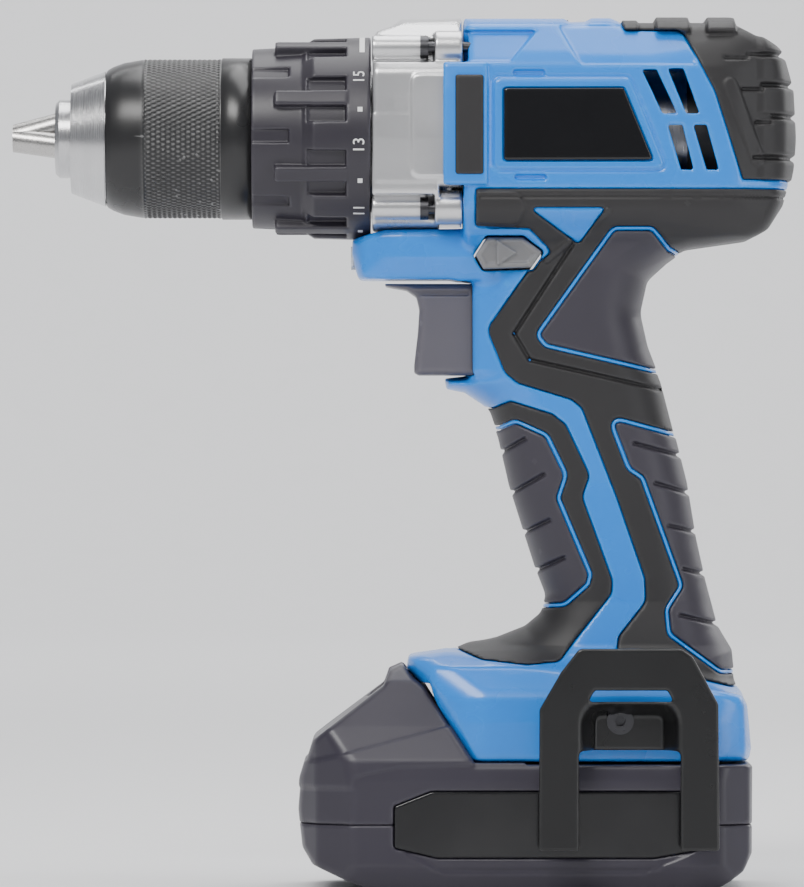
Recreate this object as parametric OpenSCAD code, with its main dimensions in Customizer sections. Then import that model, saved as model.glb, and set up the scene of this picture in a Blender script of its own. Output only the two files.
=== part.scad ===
// Cordless drill driver: a pistol-grip housing in two shells, a brushed motor, a two-stage
// planetary gearbox with a speed shift and a torque clutch, a keyless three-jaw chuck, and
// a slide-on five-cell pack that the drill stands on.
// X runs along the spindle with the chuck at -X, Y runs across the drill, and Z is up.
// The origin is on the pack's base face, in the drill's plane of symmetry.

/* [Housing] */
// Height of the spindle axis above the pack's base
axis_z = 203.5; // [203:0.5:204]
// Half width of the barrel
barrel_half_w = 30; // [29:0.5:30.5]
// Half width of the handle under its rubber
handle_half_w = 16.5; // [16:0.5:17]
// Half width of the foot over the pack
foot_half_w = 35; // [34.5:0.5:35.5]
// Wall of the two housing shells
wall = 2.6; // [2.4:0.1:2.8]
// Thickness of the rubber over the shells
rubber = 1; // [0.8:0.1:1.2]

/* [Chuck] */
// Where the jaws end, along X
jaw_tip_x = -139; // [-139.5:0.5:-138.5]
// Radius that the jaws hold at rest
grip_r = 1; // [0.8:0.1:1.2]
// Slope of each jaw to the spindle axis
jaw_slope = 15; // [14.5:0.5:15.5]
// Radius of each round jaw
jaw_r = 3.4; // [3.3:0.1:3.5]
// Radius of the sleeve over its knurl
sleeve_r = 21.6; // [21.4:0.1:21.8]

/* [Gearbox] */
// Module of both planetary stages
gear_module = 0.9; // [0.88:0.01:0.92]
// Face width of the first stage's planets
first_planet_w = 8; // [7.6:0.2:8]
// Face width of the second stage's planets
second_planet_w = 7; // [6.6:0.2:7]
// Largest radius of the torque collar
collar_r = 26.7; // [26.5:0.1:26.9]

/* [Motor] */
// Radius of the motor can
motor_r = 18.5; // [18:0.5:18.5]
// Radius of the rotor's laminations
rotor_r = 14; // [13.6:0.2:14]

/* [Pack] */
// Half width of the pack's case
pack_half_w = 37; // [36.5:0.5:37.5]
// Height of the joint between the case's two halves
pack_seam_z = 18.4; // [18:0.2:19]
// Radius of one cell
cell_r = 9.1; // [9:0.1:9.2]
// Length of one cell
cell_l = 65; // [64.5:0.5:65.5]

/* [Hidden] */
$fn = 64;

gap = 0.3;           // clearance between pieces that slide past each other
run = 0.05;          // radial clearance of a running fit
far = 400;           // longer than anything on the drill

// Gears: both stages have the same numbers of teeth, so each turns 1 + 36/12 = 4 to 1.
sun_teeth = 12;
planet_teeth = 12;
ring_teeth = sun_teeth + 2 * planet_teeth;
pressure = 25;
addendum = 0.8 * gear_module;
dedendum = 1.05 * gear_module;
backlash = 0.12;
planet_centre = gear_module * (sun_teeth + planet_teeth) / 2;
pin_r = 1.9;
ring_gear_r = 20;

// Stations along the spindle axis.
chuck_rear_x = jaw_tip_x + 65.4;
collar_front_x = -74;
neck_front_x = -66;
gear_front_x = -41.2;
gear_rear_x = -16.6;
second_planet_x = -29;
first_planet_x = -19.5;
motor_front_x = -8;
can_rear_x = 44;
cap_rear_x = 52;

// --- Helpers -------------------------------------------------------------------------

// Turns a shape built up +Z so that it lies along +X on the spindle axis.
module on_axis(x = 0) { translate([x, 0, axis_z]) rotate([0, 90, 0]) children(); }

module rod(x0, x1, r) { on_axis(x0) cylinder(h = x1 - x0, r = r); }

module tube(x0, x1, outer, inner) {
    difference() {
        rod(x0, x1, outer);
        rod(x0 - 1, x1 + 1, inner);
    }
}

// Revolves an outline of [radius, x] points about the spindle axis.
module turned(points) { on_axis() rotate_extrude() polygon(points); }

// Extrudes a side view, drawn in X and Z, from y0 to y1.
module side(y0, y1) {
    translate([0, y1, 0]) rotate([90, 0, 0]) linear_extrude(height = y1 - y0) children();
}

// Extrudes a cross-section, drawn in Y and Z, from x0 to x1.
module section(x0, x1) {
    translate([x0, 0, 0]) rotate([90, 0, 90]) linear_extrude(height = x1 - x0) children();
}

module box(low, high) { translate(low) cube(high - low); }

// The same shape on both sides of the drill.
module both_sides() {
    children();
    mirror([0, 1, 0]) children();
}

function mirrored(half) =
    concat(half, [for (i = [len(half) - 1:-1:0]) [-half[i][0], half[i][1]]]);

// --- Gear teeth ----------------------------------------------------------------------

// Half the angle that a tooth spans at radius r on an involute of base radius base.
function roll(r, base) = let (t = sqrt(max(r * r / (base * base) - 1, 0))) t * 180 / PI - atan(t);
function half_tooth(r, teeth, thick) =
    let (pitch = gear_module * teeth / 2, base = pitch * cos(pressure))
    thick / pitch / 2 * 180 / PI + roll(pitch, base) - roll(max(r, base), base);
function polar(r, a) = [r * cos(a), r * sin(a)];

// A gear's outline between radii inner and outer, with its first tooth centred on angle turn.
module gear_outline(teeth, inner, outer, thick, turn = 0) {
    steps = 4;
    radii = [for (i = [0:steps]) inner + (outer - inner) * i / steps];
    polygon([
        for (k = [0:teeth - 1])
            let (mid = turn + k * 360 / teeth)
            each concat(
                [for (r = radii) polar(r, mid - half_tooth(r, teeth, thick))],
                [for (i = [steps:-1:0]) polar(radii[i], mid + half_tooth(radii[i], teeth, thick))]
            )
    ]);
}

module outer_gear(x0, x1, teeth, turn) {
    pitch = gear_module * teeth / 2;
    on_axis(x0) linear_extrude(height = x1 - x0) gear_outline(
        teeth, pitch - dedendum, pitch + addendum, PI * gear_module / 2 - backlash, turn
    );
}

module ring_gear(x0, x1, outer) {
    pitch = gear_module * ring_teeth / 2;
    difference() {
        rod(x0, x1, outer);
        on_axis(x0 - 1) linear_extrude(height = x1 - x0 + 2) gear_outline(
            ring_teeth, pitch - addendum, pitch + dedendum,
            PI * gear_module / 2 + backlash, 180 / ring_teeth
        );
    }
}

// Planet number k of a stage, with a tooth gap towards the sun and the ring.
module planet(k, x0, width) {
    on_axis() rotate([0, 0, 120 * k]) translate([planet_centre, 0, x0]) difference() {
        linear_extrude(height = width) gear_outline(
            planet_teeth,
            gear_module * planet_teeth / 2 - dedendum,
            gear_module * planet_teeth / 2 + addendum,
            PI * gear_module / 2 - backlash,
            180 / planet_teeth
        );
        translate([0, 0, -1]) cylinder(h = width + 2, r = pin_r + run);
    }
}

module planet_pins(x0, x1) {
    for (k = [0:2])
        on_axis() rotate([0, 0, 120 * k]) translate([planet_centre, 0, x0])
            cylinder(h = x1 - x0, r = pin_r);
}

// --- Springs and leads ---------------------------------------------------------------

function unit(v) = v / norm(v);

// A round rod along a list of points. The flat direction is never along the path.
module sweep(path, r, sides, flat) {
    last = len(path) - 1;
    points = [
        for (i = [0:last])
            let (
                along = path[min(i + 1, last)] - path[max(i - 1, 0)],
                across = unit(cross(along, flat)),
                up = unit(cross(across, along))
            )
            for (j = [0:sides - 1]) let (a = 360 * j / sides)
                path[i] + r * (across * cos(a) + up * sin(a))
    ];
    walls = [
        for (i = [0:last - 1]) for (j = [0:sides - 1])
            let (k = (j + 1) % sides, n = i * sides) [n + j, n + k, n + sides + k, n + sides + j]
    ];
    ends = [[for (j = [sides - 1:-1:0]) j], [for (j = [0:sides - 1]) last * sides + j]];
    polyhedron(points, concat(walls, ends), convexity = 10);
}

// A coil spring along +Z: coil radius r, wire radius w, height h.
module coil(r, w, h, turns, per_turn, sides) {
    steps = turns * per_turn;
    path = [
        for (i = [0:steps]) let (a = 360 * i / per_turn)
            [r * cos(a), r * sin(a), w + (h - 2 * w) * i / steps]
    ];
    sweep(path, w, sides, [0, 0, 1]);
}

// --- Fasteners -----------------------------------------------------------------------

// A pan-head screw along +Z with its head's face at 0, and a star recess in it.
head_h = 2.2;
module screw(head_r, shank_r, length) {
    difference() {
        union() {
            translate([0, 0, -head_h]) cylinder(h = head_h, r = head_r);
            translate([0, 0, -length]) cylinder(h = length - 2, r = shank_r);
        }
        translate([0, 0, -1.4]) cylinder(h = 2, r = head_r * 0.42, $fn = 6);
    }
}

// --- Housing outlines ----------------------------------------------------------------

barrel_view = [
    [-16.6, 172], [-16.6, 189.8], [-22, 189.8], [-22, 223.8], [-16.6, 223.8], [-16.6, 236],
    [11, 236], [11.8, 234.4], [15, 234.6], [17.5, 236], [24, 236],
    [26.5, 233.5], [56, 233.5], [59, 231], [68.8, 225.6], [72.2, 215], [73.2, 204.5],
    [72.4, 195.5], [71, 188], [68.8, 183.3], [64.6, 179.2], [58, 176.4], [46, 174],
    [37, 172], [30, 168], [0, 165],
];
barrel_half = [[17, 236], [22, 233], [barrel_half_w, 220], [barrel_half_w, 190],
               [25, 180], [20, 177], [20, 160]];
beak_view = [
    [0, 178.2], [-41, 178.2], [-46.9, 176.6], [-47.2, 174], [-46.2, 168.6], [-44.5, 164.8],
    [-21, 164.8], [-17.5, 163.6], [-15.1, 160.9], [-13.9, 158], [-13.9, 150], [0, 150],
];
handle_view = [
    [-13.9, 165], [-13.9, 140.7], [-16, 138.8], [-21.8, 137.7], [-21.4, 136.2], [-17, 134.6],
    [-12.3, 132.2], [-8.3, 129.4], [-5.6, 122], [-2.4, 108], [1.4, 98], [5.6, 87], [6.8, 79.5],
    [4.5, 73.6], [0, 69.4], [-7, 67], [-16, 65], [-13, 50], [56, 46], [55.6, 64],
    [53.8, 67.6], [50.6, 73], [47.4, 83.6], [45, 100], [42.4, 114], [38.4, 130],
    [35.4, 140], [33.2, 146], [31.5, 151.5], [30.6, 157], [31.3, 161.6], [33.4, 166.7],
    [38, 172], [38, 180], [-13.9, 180],
];
foot_view = [
    [-13.6, 35], [-26.3, 55], [-32.2, 60.3], [-32.2, 61.6], [-30.9, 63.5], [-21, 65],
    [-15.5, 64], [0, 62], [30, 58], [51, 55], [58.6, 52.8], [60.1, 50.3], [61.7, 38.2],
    [60.3, 35],
];
foot_half = [[19, 66], [29, 60], [foot_half_w - 1.4, 52], [foot_half_w, 47], [foot_half_w, 30]];
handle_tilt = 15;
handle_foot = [31.2, 64.8];

// Points round a squared-off ellipse.
function oval(a, b, n) = [
    for (i = [0:n - 1]) let (c = cos(360 * i / n), s = sin(360 * i / n))
        [a * sign(c) * pow(abs(c), 0.75), b * sign(s) * pow(abs(s), 0.75)]
];

module inset(d) { offset(delta = -d) children(); }

// The form of the barrel, the beak and the handle, grown by d all over.
module grip_form(d) {
    intersection() {
        side(-far, far) inset(-d) polygon(barrel_view);
        section(-far, far) inset(-d) polygon(mirrored(barrel_half));
    }
    side(-19 - d, 19 + d) inset(-d) polygon(beak_view);
    intersection() {
        side(-far, far) inset(-d) polygon(handle_view);
        translate([handle_foot[0], 0, handle_foot[1]]) rotate([0, -handle_tilt, 0])
            translate([0, 0, -40]) linear_extrude(height = 160)
                polygon(oval(27.5 + d, handle_half_w + d, 36));
    }
}

// The whole housing's form, taken in where d is negative.
module housing_form(d) {
    grip_form(d);
    intersection() {
        side(-far, far) inset(-d) polygon(foot_view);
        section(-far, far) inset(-d) polygon(mirrored(foot_half));
    }
}

// The rubber's outlines on each side of the drill.
rear_cap_view = [
    [24.5, 240], [26.5, 232], [42.3, 232], [45.2, 227], [52.2, 218], [57.6, 200.5],
    [59.5, 191.5], [80, 191.5], [80, 240],
];
rear_grip_view = [
    [-12, 191.2], [80, 191.2], [80, 165], [38, 165], [30, 158], [44, 133], [60, 60], [60, 55],
    [40, 58], [23, 60], [31, 72], [23, 88], [13, 125], [-10, 141], [-14, 152], [-2, 168],
    [-8, 178], [-12, 181],
];
front_grip_view = [
    [-30, 134], [-8, 129], [-1, 131.5], [8, 125], [13, 112], [11, 108], [17.5, 84], [14.5, 78],
    [7, 66.5], [-5, 64.6], [-17, 64.6], [-20, 70], [-6, 76],
];

module rubber_regions() {
    side(-far, far) {
        polygon(rear_cap_view);
        polygon(rear_grip_view);
        polygon(front_grip_view);
    }
}

// Air slots over the motor's rear, drawn in X and Z.
module vent(x, z, rise, lean) {
    polygon([[x, z], [x + 3.4, z], [x + 3.4 - lean, z + rise], [x - lean, z + rise]]);
}
module vents() {
    vent(37, 209.5, 11.5, 6);
    vent(44, 209.5, 11.5, 6);
    vent(42.5, 194, 12.2, 4.2);
    vent(49.2, 194, 12.2, 4.2);
}

name_plate_view = [[-5.8, 196.6], [34.4, 197], [26.6, 216.6], [-5.8, 216]];
side_pad_low = [-18.4, 193];
side_pad_size = [7, 26];
selector_view = [
    [-13.4, 171.8], [-10.6, 176.2], [1.6, 176.2], [5.3, 172], [2.6, 167.4], [-10.2, 167.4],
];

// Where the long screws join the shells, as [x, z].
screw_places = [
    [-10, 231.6], [30, 229], [64, 214], [64, 190], [12, 170.6], [-25, 171.5],
    [-4, 134], [34, 122], [17, 86], [52, 62.5],
];
boss_r = 3.6;

module at_screws() { for (p = screw_places) translate([p[0], 0, p[1]]) rotate([90, 0, 0]) children(); }

// The trigger's opening, the spaces for the selectors, the gear housing and the pack's bay.
module housing_openings() {
    box([-40, -12, 138.9], [-3, 12, 164.4]);
    side(-far, far) offset(delta = gap) polygon(selector_view);
    box([-6.5, -7, 232.8], [17.5, 7, 250]);
    box([-6.5, -3, 225], [14, 3, 250]);
    side(-far, far) vents();
    box([-40, -20, 30], [46, 20, 44]);
    box([-60, -26, 41.7], [46, 26, 56]);
    on_light() cylinder(h = 20, r = 3.4);
    section(-23, gear_rear_x) offset(delta = 0.2) polygon(mirrored(gear_half));
    rod(-60, gear_front_x, collar_r + gap);
    at_gearbox_screws(gear_rear_x - 1) cylinder(h = 6, r = gearbox_screw_r);
}

// Bosses, motor cradles and pack rails inside one shell.
module housing_ribs() {
    intersection() {
        housing_form(-wall / 2);
        union() {
            at_screws() translate([0, 0, -far / 2]) cylinder(h = far, r = boss_r);
            at_hook_seats(24) cylinder(h = 12, r = 5);
            at_gearbox_screws(gear_rear_x) cylinder(h = 8, r = 3.4);
            difference() {
                union() {
                    box([3, -40, 176], [5, 40, 232]);
                    box([35.2, -40, 176], [36.8, 40, 232]);
                }
                rod(2, 42, motor_r);
                both_sides() box([34, 7, 170], [38, 15, 181]);
            }
            difference() {
                box([-12.5, -40, 176], [-10.5, 40, 232]);
                rod(-13, -10, 25.4);
            }
            both_sides() box([-19, 20, 35], [48, 40, 41.4]);
        }
    }
}

module housing_shells() {
    difference() {
        union() {
            difference() {
                housing_form(0);
                housing_form(-wall);
            }
            housing_ribs();
        }
        housing_openings();
        gearbox_space();
        name_plate_cut();
        side_pad_cut();
        hook_boss_cut();
    }
}

module gearbox_space() {
    rod(-20, motor_front_x, 25.4);
    rod(motor_front_x - 1, 3, motor_r);
    box([-20, -3.4, 222], [16, 3.4, 232]);
}

module name_plate_cut() { both_sides() side(barrel_half_w - 0.6, far) polygon(name_plate_view); }

module side_pad_cut() {
    both_sides() side(barrel_half_w - 1, far) translate(side_pad_low) square(side_pad_size);
}

// The seats for the belt hook's threaded inserts, one on each side of the foot.
hook_seat = [25.4, 46.2];
hook_thread_r = 1.65;
insert_r = 3;
insert_y = 26.8;
module at_hook_seats(y) {
    both_sides() translate([hook_seat[0], y, hook_seat[1]]) rotate([-90, 0, 0]) children();
}
module hook_boss_cut() { at_hook_seats(insert_y) cylinder(h = 20, r = insert_r); }

module hook_inserts() {
    color("gold") at_hook_seats(insert_y) difference() {
        cylinder(h = foot_half_w - insert_y, r = insert_r);
        translate([0, 0, -1]) cylinder(h = 20, r = hook_thread_r);
    }
}

module housing_left() {
    color("dodgerblue") difference() {
        intersection() {
            housing_shells();
            box([-far, -far, 0], [far, 0, far]);
        }
        at_screws() translate([0, 0, -1]) cylinder(h = 12, r = long_screw_r);
    }
}

module housing_right() {
    color("dodgerblue") difference() {
        intersection() {
            housing_shells();
            box([-far, 0, 0], [far, far, far]);
        }
        at_screws() {
            translate([0, 0, -far]) cylinder(h = far + 1, r = 1.6);
            translate([0, 0, head_h - far - screw_head_y]) cylinder(h = far, r = 3.2);
        }
    }
}

module overmould_half(y0, y1) {
    color("dimgray") intersection() {
        difference() {
            intersection() {
                grip_form(rubber);
                rubber_regions();
            }
            housing_form(0);
            box([-40, -12, 138.9], [-3, 12, 164.4]);
            side(-far, far) offset(delta = gap + 0.4) polygon(selector_view);
            box([-60, -60, 20], [70, 60, 52]);
            at_screws() translate([0, 0, -far / 2]) cylinder(h = far / 2, r = 3.2);
        }
        box([-far, y0, 0], [far, y1, far]);
    }
}
module overmould_left() { overmould_half(-far, 0); }
module overmould_right() { overmould_half(0, far); }

module side_pads() {
    color("gray") both_sides() side(barrel_half_w - 1, barrel_half_w + 0.4)
        translate(side_pad_low + [0.15, 0.15]) square(side_pad_size - [0.3, 0.3]);
}

module name_plates() {
    color("black") both_sides() side(barrel_half_w - 0.6, barrel_half_w)
        inset(0.1) polygon(name_plate_view);
}

// Long screws from the right shell into the left one's bosses.
screw_head_y = 13;
long_screw_r = 1.35;
module housing_screws() {
    color("silver") at_screws() translate([0, 0, -screw_head_y]) rotate([180, 0, 0]) screw(2.9, long_screw_r, 21);
}

// --- Gearbox and clutch --------------------------------------------------------------

screw_boss_places = [[22, 24], [22, -19.5]];
module at_gearbox_screws(x) {
    both_sides() for (p = screw_boss_places)
        translate([x, p[0], axis_z + p[1]]) rotate([0, 90, 0]) children();
}
gear_half = [[12, axis_z + 32.5], [19, axis_z + 30.5], [26.5, axis_z + 20],
             [26.5, axis_z - 18], [20, axis_z - 25]];
clutch_pin_count = 6;
clutch_pin_r = 2;
clutch_pin_place = 17.4;
gearbox_head_x = -26;
gearbox_screw_r = 1.5;

module at_clutch_pins(x) {
    for (k = [0:clutch_pin_count - 1])
        on_axis(x) rotate([0, 0, 360 / clutch_pin_count * (k + 0.5)])
            translate([clutch_pin_place, 0, 0]) children();
}

module gear_housing() {
    color("silver") difference() {
        union() {
            intersection() {
                section(gear_front_x, gear_rear_x) polygon(mirrored(gear_half));
                side(-far, far) polygon([
                    [gear_front_x, axis_z - 25], [gear_front_x, axis_z + 28.3],
                    [-34, axis_z + 32.5], [gear_rear_x, axis_z + 32.5],
                    [gear_rear_x, axis_z - 25],
                ]);
            }
            at_gearbox_screws(gearbox_head_x) cylinder(h = 9.4, r = 4);
            rod(neck_front_x, gear_front_x, 13.5);
        }
        at_gearbox_screws(gear_front_x - 1) cylinder(h = gearbox_head_x - gear_front_x + 1, r = 3.6);
        at_gearbox_screws(gear_front_x - 1) cylinder(h = 40, r = 1.6);
        rod(-20.8, gear_rear_x + 1, 23.2);
        box([-20.6, -3.4, 220], [-10, 3.4, 232.5]);
        rod(-33.2, -20, ring_gear_r + run);
        rod(neck_front_x - 1, -30, 6.8);
        rod(neck_front_x - 1, neck_front_x + 12, 9.5);
        at_clutch_pins(gear_front_x - 1) cylinder(h = 12, r = clutch_pin_r + run);
    }
}

module gearbox_case() {
    color("slategray") difference() {
        rod(gear_rear_x, motor_front_x, 25.4);
        rod(gear_rear_x - 1, motor_front_x - 1.8, 23.2);
        rod(-12, 0, 6.6);
        box([-20, -3.4, 220], [0, 3.4, 240]);
        for (a = [90, 270]) on_axis(-12) rotate([0, 0, a]) translate([12.5, 0, 0]) cylinder(h = 8, r = 1.6);
    }
}

module gearbox_screws() {
    color("dimgray") at_gearbox_screws(gearbox_head_x - head_h) rotate([180, 0, 0])
        screw(3.1, gearbox_screw_r, 16);
}

module clutch_ring_gear() {
    color("lightgray") ring_gear(-33, -21, ring_gear_r);
}

module clutch_pins() {
    color("silver") at_clutch_pins(gear_front_x - 0.2) cylinder(h = -33 - gear_front_x + 0.1, r = clutch_pin_r);
}

washer_x = gear_front_x - 1.8;
module clutch_washer() { color("silver") tube(washer_x, gear_front_x - 0.2, 20, 13.7); }

nut_x = -60.5;
nut_w = 4;
module clutch_spring() {
    color("silver") on_axis(nut_x + nut_w + 0.05)
        coil(16.8, 1.3, washer_x - nut_x - nut_w - 0.1, 3.5, 24, 8);
}

module clutch_nut() {
    color("dimgray") difference() {
        tube(nut_x, nut_x + nut_w, 20.4, 13.5 + run);
        for (k = [0:3]) on_axis(nut_x - 1) rotate([0, 0, 90 * k]) translate([20.4, 0, 0])
            cylinder(h = nut_w + 2, r = 2);
    }
}

collar_ribs = 8;
module torque_collar() {
    color("dimgray") difference() {
        union() {
            turned([[24.2, collar_front_x], [24.6, collar_front_x + 0.8], [24.8, -61.4],
                    [26, -60], [26, -50], [collar_r, -48.5], [collar_r, gear_front_x - 0.3],
                    [20.8, gear_front_x - 0.3], [20.8, -66], [22.4, -68], [22.4, collar_front_x]]);
            for (k = [0:collar_ribs - 1]) on_axis(-68) rotate([0, 0, 360 / collar_ribs * (k + 0.5)])
                translate([20.9, -2, 0]) cube([5.5, 4, 19]);
            for (k = [0:3]) on_axis(nut_x - 4) rotate([0, 0, 90 * k]) translate([20.9, 0, 0])
                cylinder(h = 12, r = 1.5);
        }
        for (k = [0:collar_ribs - 1]) on_axis(collar_front_x - 1) rotate([0, 0, 360 / collar_ribs * k])
            translate([23.8, -2.2, 0]) cube([5, 4.4, 13]);
    }
}

module shift_ring_gear() {
    color("lightgray") difference() {
        ring_gear(-15.5, -10.5, ring_gear_r);
        tube(-13.9, -12.1, ring_gear_r + 1, ring_gear_r - 1);
    }
}

module shift_fork() {
    color("silver") {
        intersection() {
            tube(-13.8, -12.2, 22.6, ring_gear_r - 0.9);
            box([-20, -30, axis_z], [0, 30, axis_z + 40]);
        }
        box([-13.8, -2.5, axis_z + 22], [-12.2, 2.5, 230]);
        box([-12.2, -2.5, 228.6], [8, 2.5, 230]);
    }
}

module speed_selector() {
    color("dimgray") difference() {
        union() {
            box([0, -6.6, 233], [12, 6.6, 235.6]);
            box([3, -2.6, 230], [9, 2.6, 233]);
        }
        for (x = [2:2.2:11]) box([x, -10, 235], [x + 0.9, 10, 240]);
    }
}

module output_carrier() {
    color("lightgray") {
        difference() {
            rod(-32.4, -30, 14);
            box([-40, -4, axis_z - 4], [-20, 4, axis_z + 4]);
        }
        planet_pins(-31, -21.6);
    }
}

module spindle() {
    color("silver") difference() {
        union() {
            rod(-91, neck_front_x + 12, 6);
            rod(neck_front_x + 12, -33.2, 6.6);
            box([-33.2, -3.95, axis_z - 3.95], [-30, 3.95, axis_z + 3.95]);
        }
        rod(-92, -78, chuck_screw_r);
    }
}

module first_carrier() {
    color("lightgray") {
        rod(-21, -19.8, 14);
        planet_pins(-20.4, -11);
        outer_gear(-29.6, -20.6, sun_teeth, 0);
    }
}

// --- Chuck ---------------------------------------------------------------------------

jaw_l = 36;
jaw_start = grip_r + 2.9 - jaw_r / cos(jaw_slope);
function at_depth(u) = jaw_tip_x + u;

// Lays a shape built up +Z along jaw number k, from where its centre line crosses the tip.
module along_jaw(k) {
    on_axis(jaw_tip_x) rotate([0, 0, 120 * k + 60]) translate([jaw_start, 0, 0])
        rotate([0, jaw_slope, 0]) children();
}

module chuck_jaw(k) {
    color("silver") intersection() {
        difference() {
            along_jaw(k) translate([0, 0, -10]) cylinder(h = jaw_l + 10, r = jaw_r);
            rod(at_depth(-20), at_depth(60), grip_r);
            for (i = [0:8]) along_jaw(k) translate([jaw_r - 0.5, -5, 16 + 2.2 * i]) cube([3, 10, 0.9]);
        }
        on_axis(jaw_tip_x) rotate([0, 0, 120 * k + 60]) linear_extrude(height = 60)
            polygon([[0.08, 0], [20, 34.5], [20, -34.5]]);
    }
}

module chuck_body() {
    color("silver") difference() {
        turned([
            [6.9, at_depth(11.7)], [9.6, at_depth(11.7)], [10.7, at_depth(12.8)],
            [10.7, at_depth(16)], [14.9, at_depth(16)], [18.4, at_depth(25.3)],
            [17, at_depth(25.3)], [17, at_depth(31.5)], [12.3, at_depth(31.5)],
            [12.3, at_depth(38.5)], [19.5, at_depth(38.5)], [19.5, at_depth(62)],
            [6 + run, at_depth(62)], [6 + run, at_depth(48)], [2.6, at_depth(48)],
            [2.6, at_depth(46)], [6.9, at_depth(46)],
        ]);
        for (k = [0:2]) along_jaw(k) cylinder(h = 60, r = jaw_r + run);
    }
}

chuck_screw_r = 2.4;
module chuck_screw() {
    color("dimgray") on_axis(at_depth(42)) difference() {
        union() {
            cylinder(h = 4, r = 4.4);
            cylinder(h = 18, r = chuck_screw_r);
        }
        translate([0, 0, -1]) cylinder(h = 3, r = 2, $fn = 6);
    }
}

module chuck_nut() {
    reach = jaw_start + jaw_r / cos(jaw_slope) + 0.2;
    slope = tan(jaw_slope);
    color("silver") turned([
        [reach + 32.5 * slope, at_depth(32.5)], [19.7, at_depth(32.5)],
        [19.7, at_depth(37.5)], [reach + 37.5 * slope, at_depth(37.5)],
    ]);
}

module chuck_sleeve() {
    color("black") turned([
        [17.2, at_depth(25.6)], [18.6, at_depth(25.6)], [20.8, at_depth(30.5)],
        [sleeve_r - 0.3, at_depth(34)], [sleeve_r, at_depth(35.6)], [sleeve_r, at_depth(56.5)],
        [sleeve_r + 0.3, at_depth(56.9)], [sleeve_r + 0.3, chuck_rear_x],
        [19.7, chuck_rear_x], [19.7, at_depth(32)], [17.2, at_depth(31)],
    ]);
}

// --- Motor ---------------------------------------------------------------------------

module motor_can() {
    color("silver") difference() {
        union() {
            rod(motor_front_x, can_rear_x, motor_r);
            rod(motor_front_x - 1.8, motor_front_x, 6.5);
        }
        rod(motor_front_x + 1.2, can_rear_x + 1, motor_r - 1.2);
        rod(motor_front_x - 3, motor_front_x + 2, 5);
        for (a = [0, 180]) on_axis(motor_front_x - 1) rotate([0, 0, a + 90])
            translate([12.5, 0, 0]) cylinder(h = 4, r = 1.3);
        for (a = [45:90:315]) on_axis(motor_front_x) rotate([0, 0, a])
            translate([10, -3, 2]) cube([20, 6, 6]);
    }
}

module motor_magnets() {
    color("dimgray") difference() {
        tube(4, 38, motor_r - 1.2, rotor_r + 0.6);
        box([0, -9, axis_z - 30], [50, 9, axis_z + 30]);
    }
}

module motor_end_cap() {
    color("black") difference() {
        union() {
            rod(can_rear_x, cap_rear_x, motor_r);
            rod(cap_rear_x, cap_rear_x + 3, 7);
        }
        rod(can_rear_x - 1, cap_rear_x - 2, motor_r - 2.4);
        rod(cap_rear_x - 3, cap_rear_x + 4, 5);
        for (a = [22.5:45:360]) on_axis(cap_rear_x - 3) rotate([0, 0, a])
            translate([12.5, 0, 0]) cylinder(h = 4, r = 2.4);
    }
    color("black") both_sides() difference() {
        box([can_rear_x, 7.5, axis_z - 3], [cap_rear_x - 1.5, 16.4, axis_z + 3]);
        box([can_rear_x + 0.5, 7, axis_z - 2], [can_rear_x + 5, 12, axis_z + 2]);
    }
}

module motor_brushes() {
    color("darkgoldenrod") both_sides() box([can_rear_x + 0.5, 5.4, axis_z - 2], [can_rear_x + 5, 12, axis_z + 2]);
}

module bushes() {
    color("peru") {
        tube(neck_front_x + 1, neck_front_x + 12, 9.5, 6 + run);
        tube(motor_front_x - 1.8, motor_front_x + 3, 5, 1.6 + run);
        tube(cap_rear_x - 2, cap_rear_x + 3, 5, 1.6 + run);
    }
}

module motor_shaft() { color("silver") rod(-19.6, cap_rear_x + 3.5, 1.6); }

module rotor_core() {
    color("lightgray") difference() {
        rod(7, 35, rotor_r);
        rod(0, 60, 1.6);
        for (a = [0:72:300]) on_axis(6) rotate([0, 0, a]) translate([rotor_r - 6, -1, 0]) cube([10, 2, 30]);
    }
}

module rotor_windings() {
    color("chocolate") {
        tube(3, 7, 11.5, 1.6);
        tube(35, 38.5, 11.5, 1.6);
        tube(38.5, 50, 5.2, 1.6);
        for (a = [0:72:300]) on_axis(7) rotate([0, 0, a]) translate([rotor_r - 5.9, -0.9, 0]) cube([4.5, 1.8, 28]);
    }
}

module motor_fan() {
    color("black") {
        tube(-1, 2.8, 5, 1.6);
        tube(1.6, 2.8, 14.5, 5);
        for (k = [0:8]) on_axis(-2) rotate([0, 0, 40 * k]) translate([4.8, -0.5, 0]) cube([9.5, 1, 4]);
    }
}

module motor_pinion() {
    color("silver") difference() {
        outer_gear(-19.6, -10.4, sun_teeth, 0);
        rod(-30, 0, 1.6);
    }
}

// --- Controls ------------------------------------------------------------------------

trigger_view = [
    [-37.8, 164.1], [-37.6, 163.4], [-32.4, 162.6], [-29.6, 160.4], [-28.4, 157.5],
    [-28.3, 154], [-29.2, 146], [-29.9, 141.2], [-29.6, 139.6], [-28.6, 139.2],
    [-15.6, 139.2], [-12.9, 139.2], [-12.9, 164.1],
];
plunger_z = 152;
module trigger() {
    color("gray") {
        side(-11.6, 11.6) polygon(trigger_view);
        translate([-12.9, 0, plunger_z]) rotate([0, 90, 0]) cylinder(h = 16, r = 2.4);
    }
}

module trigger_spring() {
    color("silver") translate([-12.8, 0, plunger_z]) rotate([0, 90, 0])
        coil(3.6, 0.5, 15.6, 5, 14, 6);
}

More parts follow.
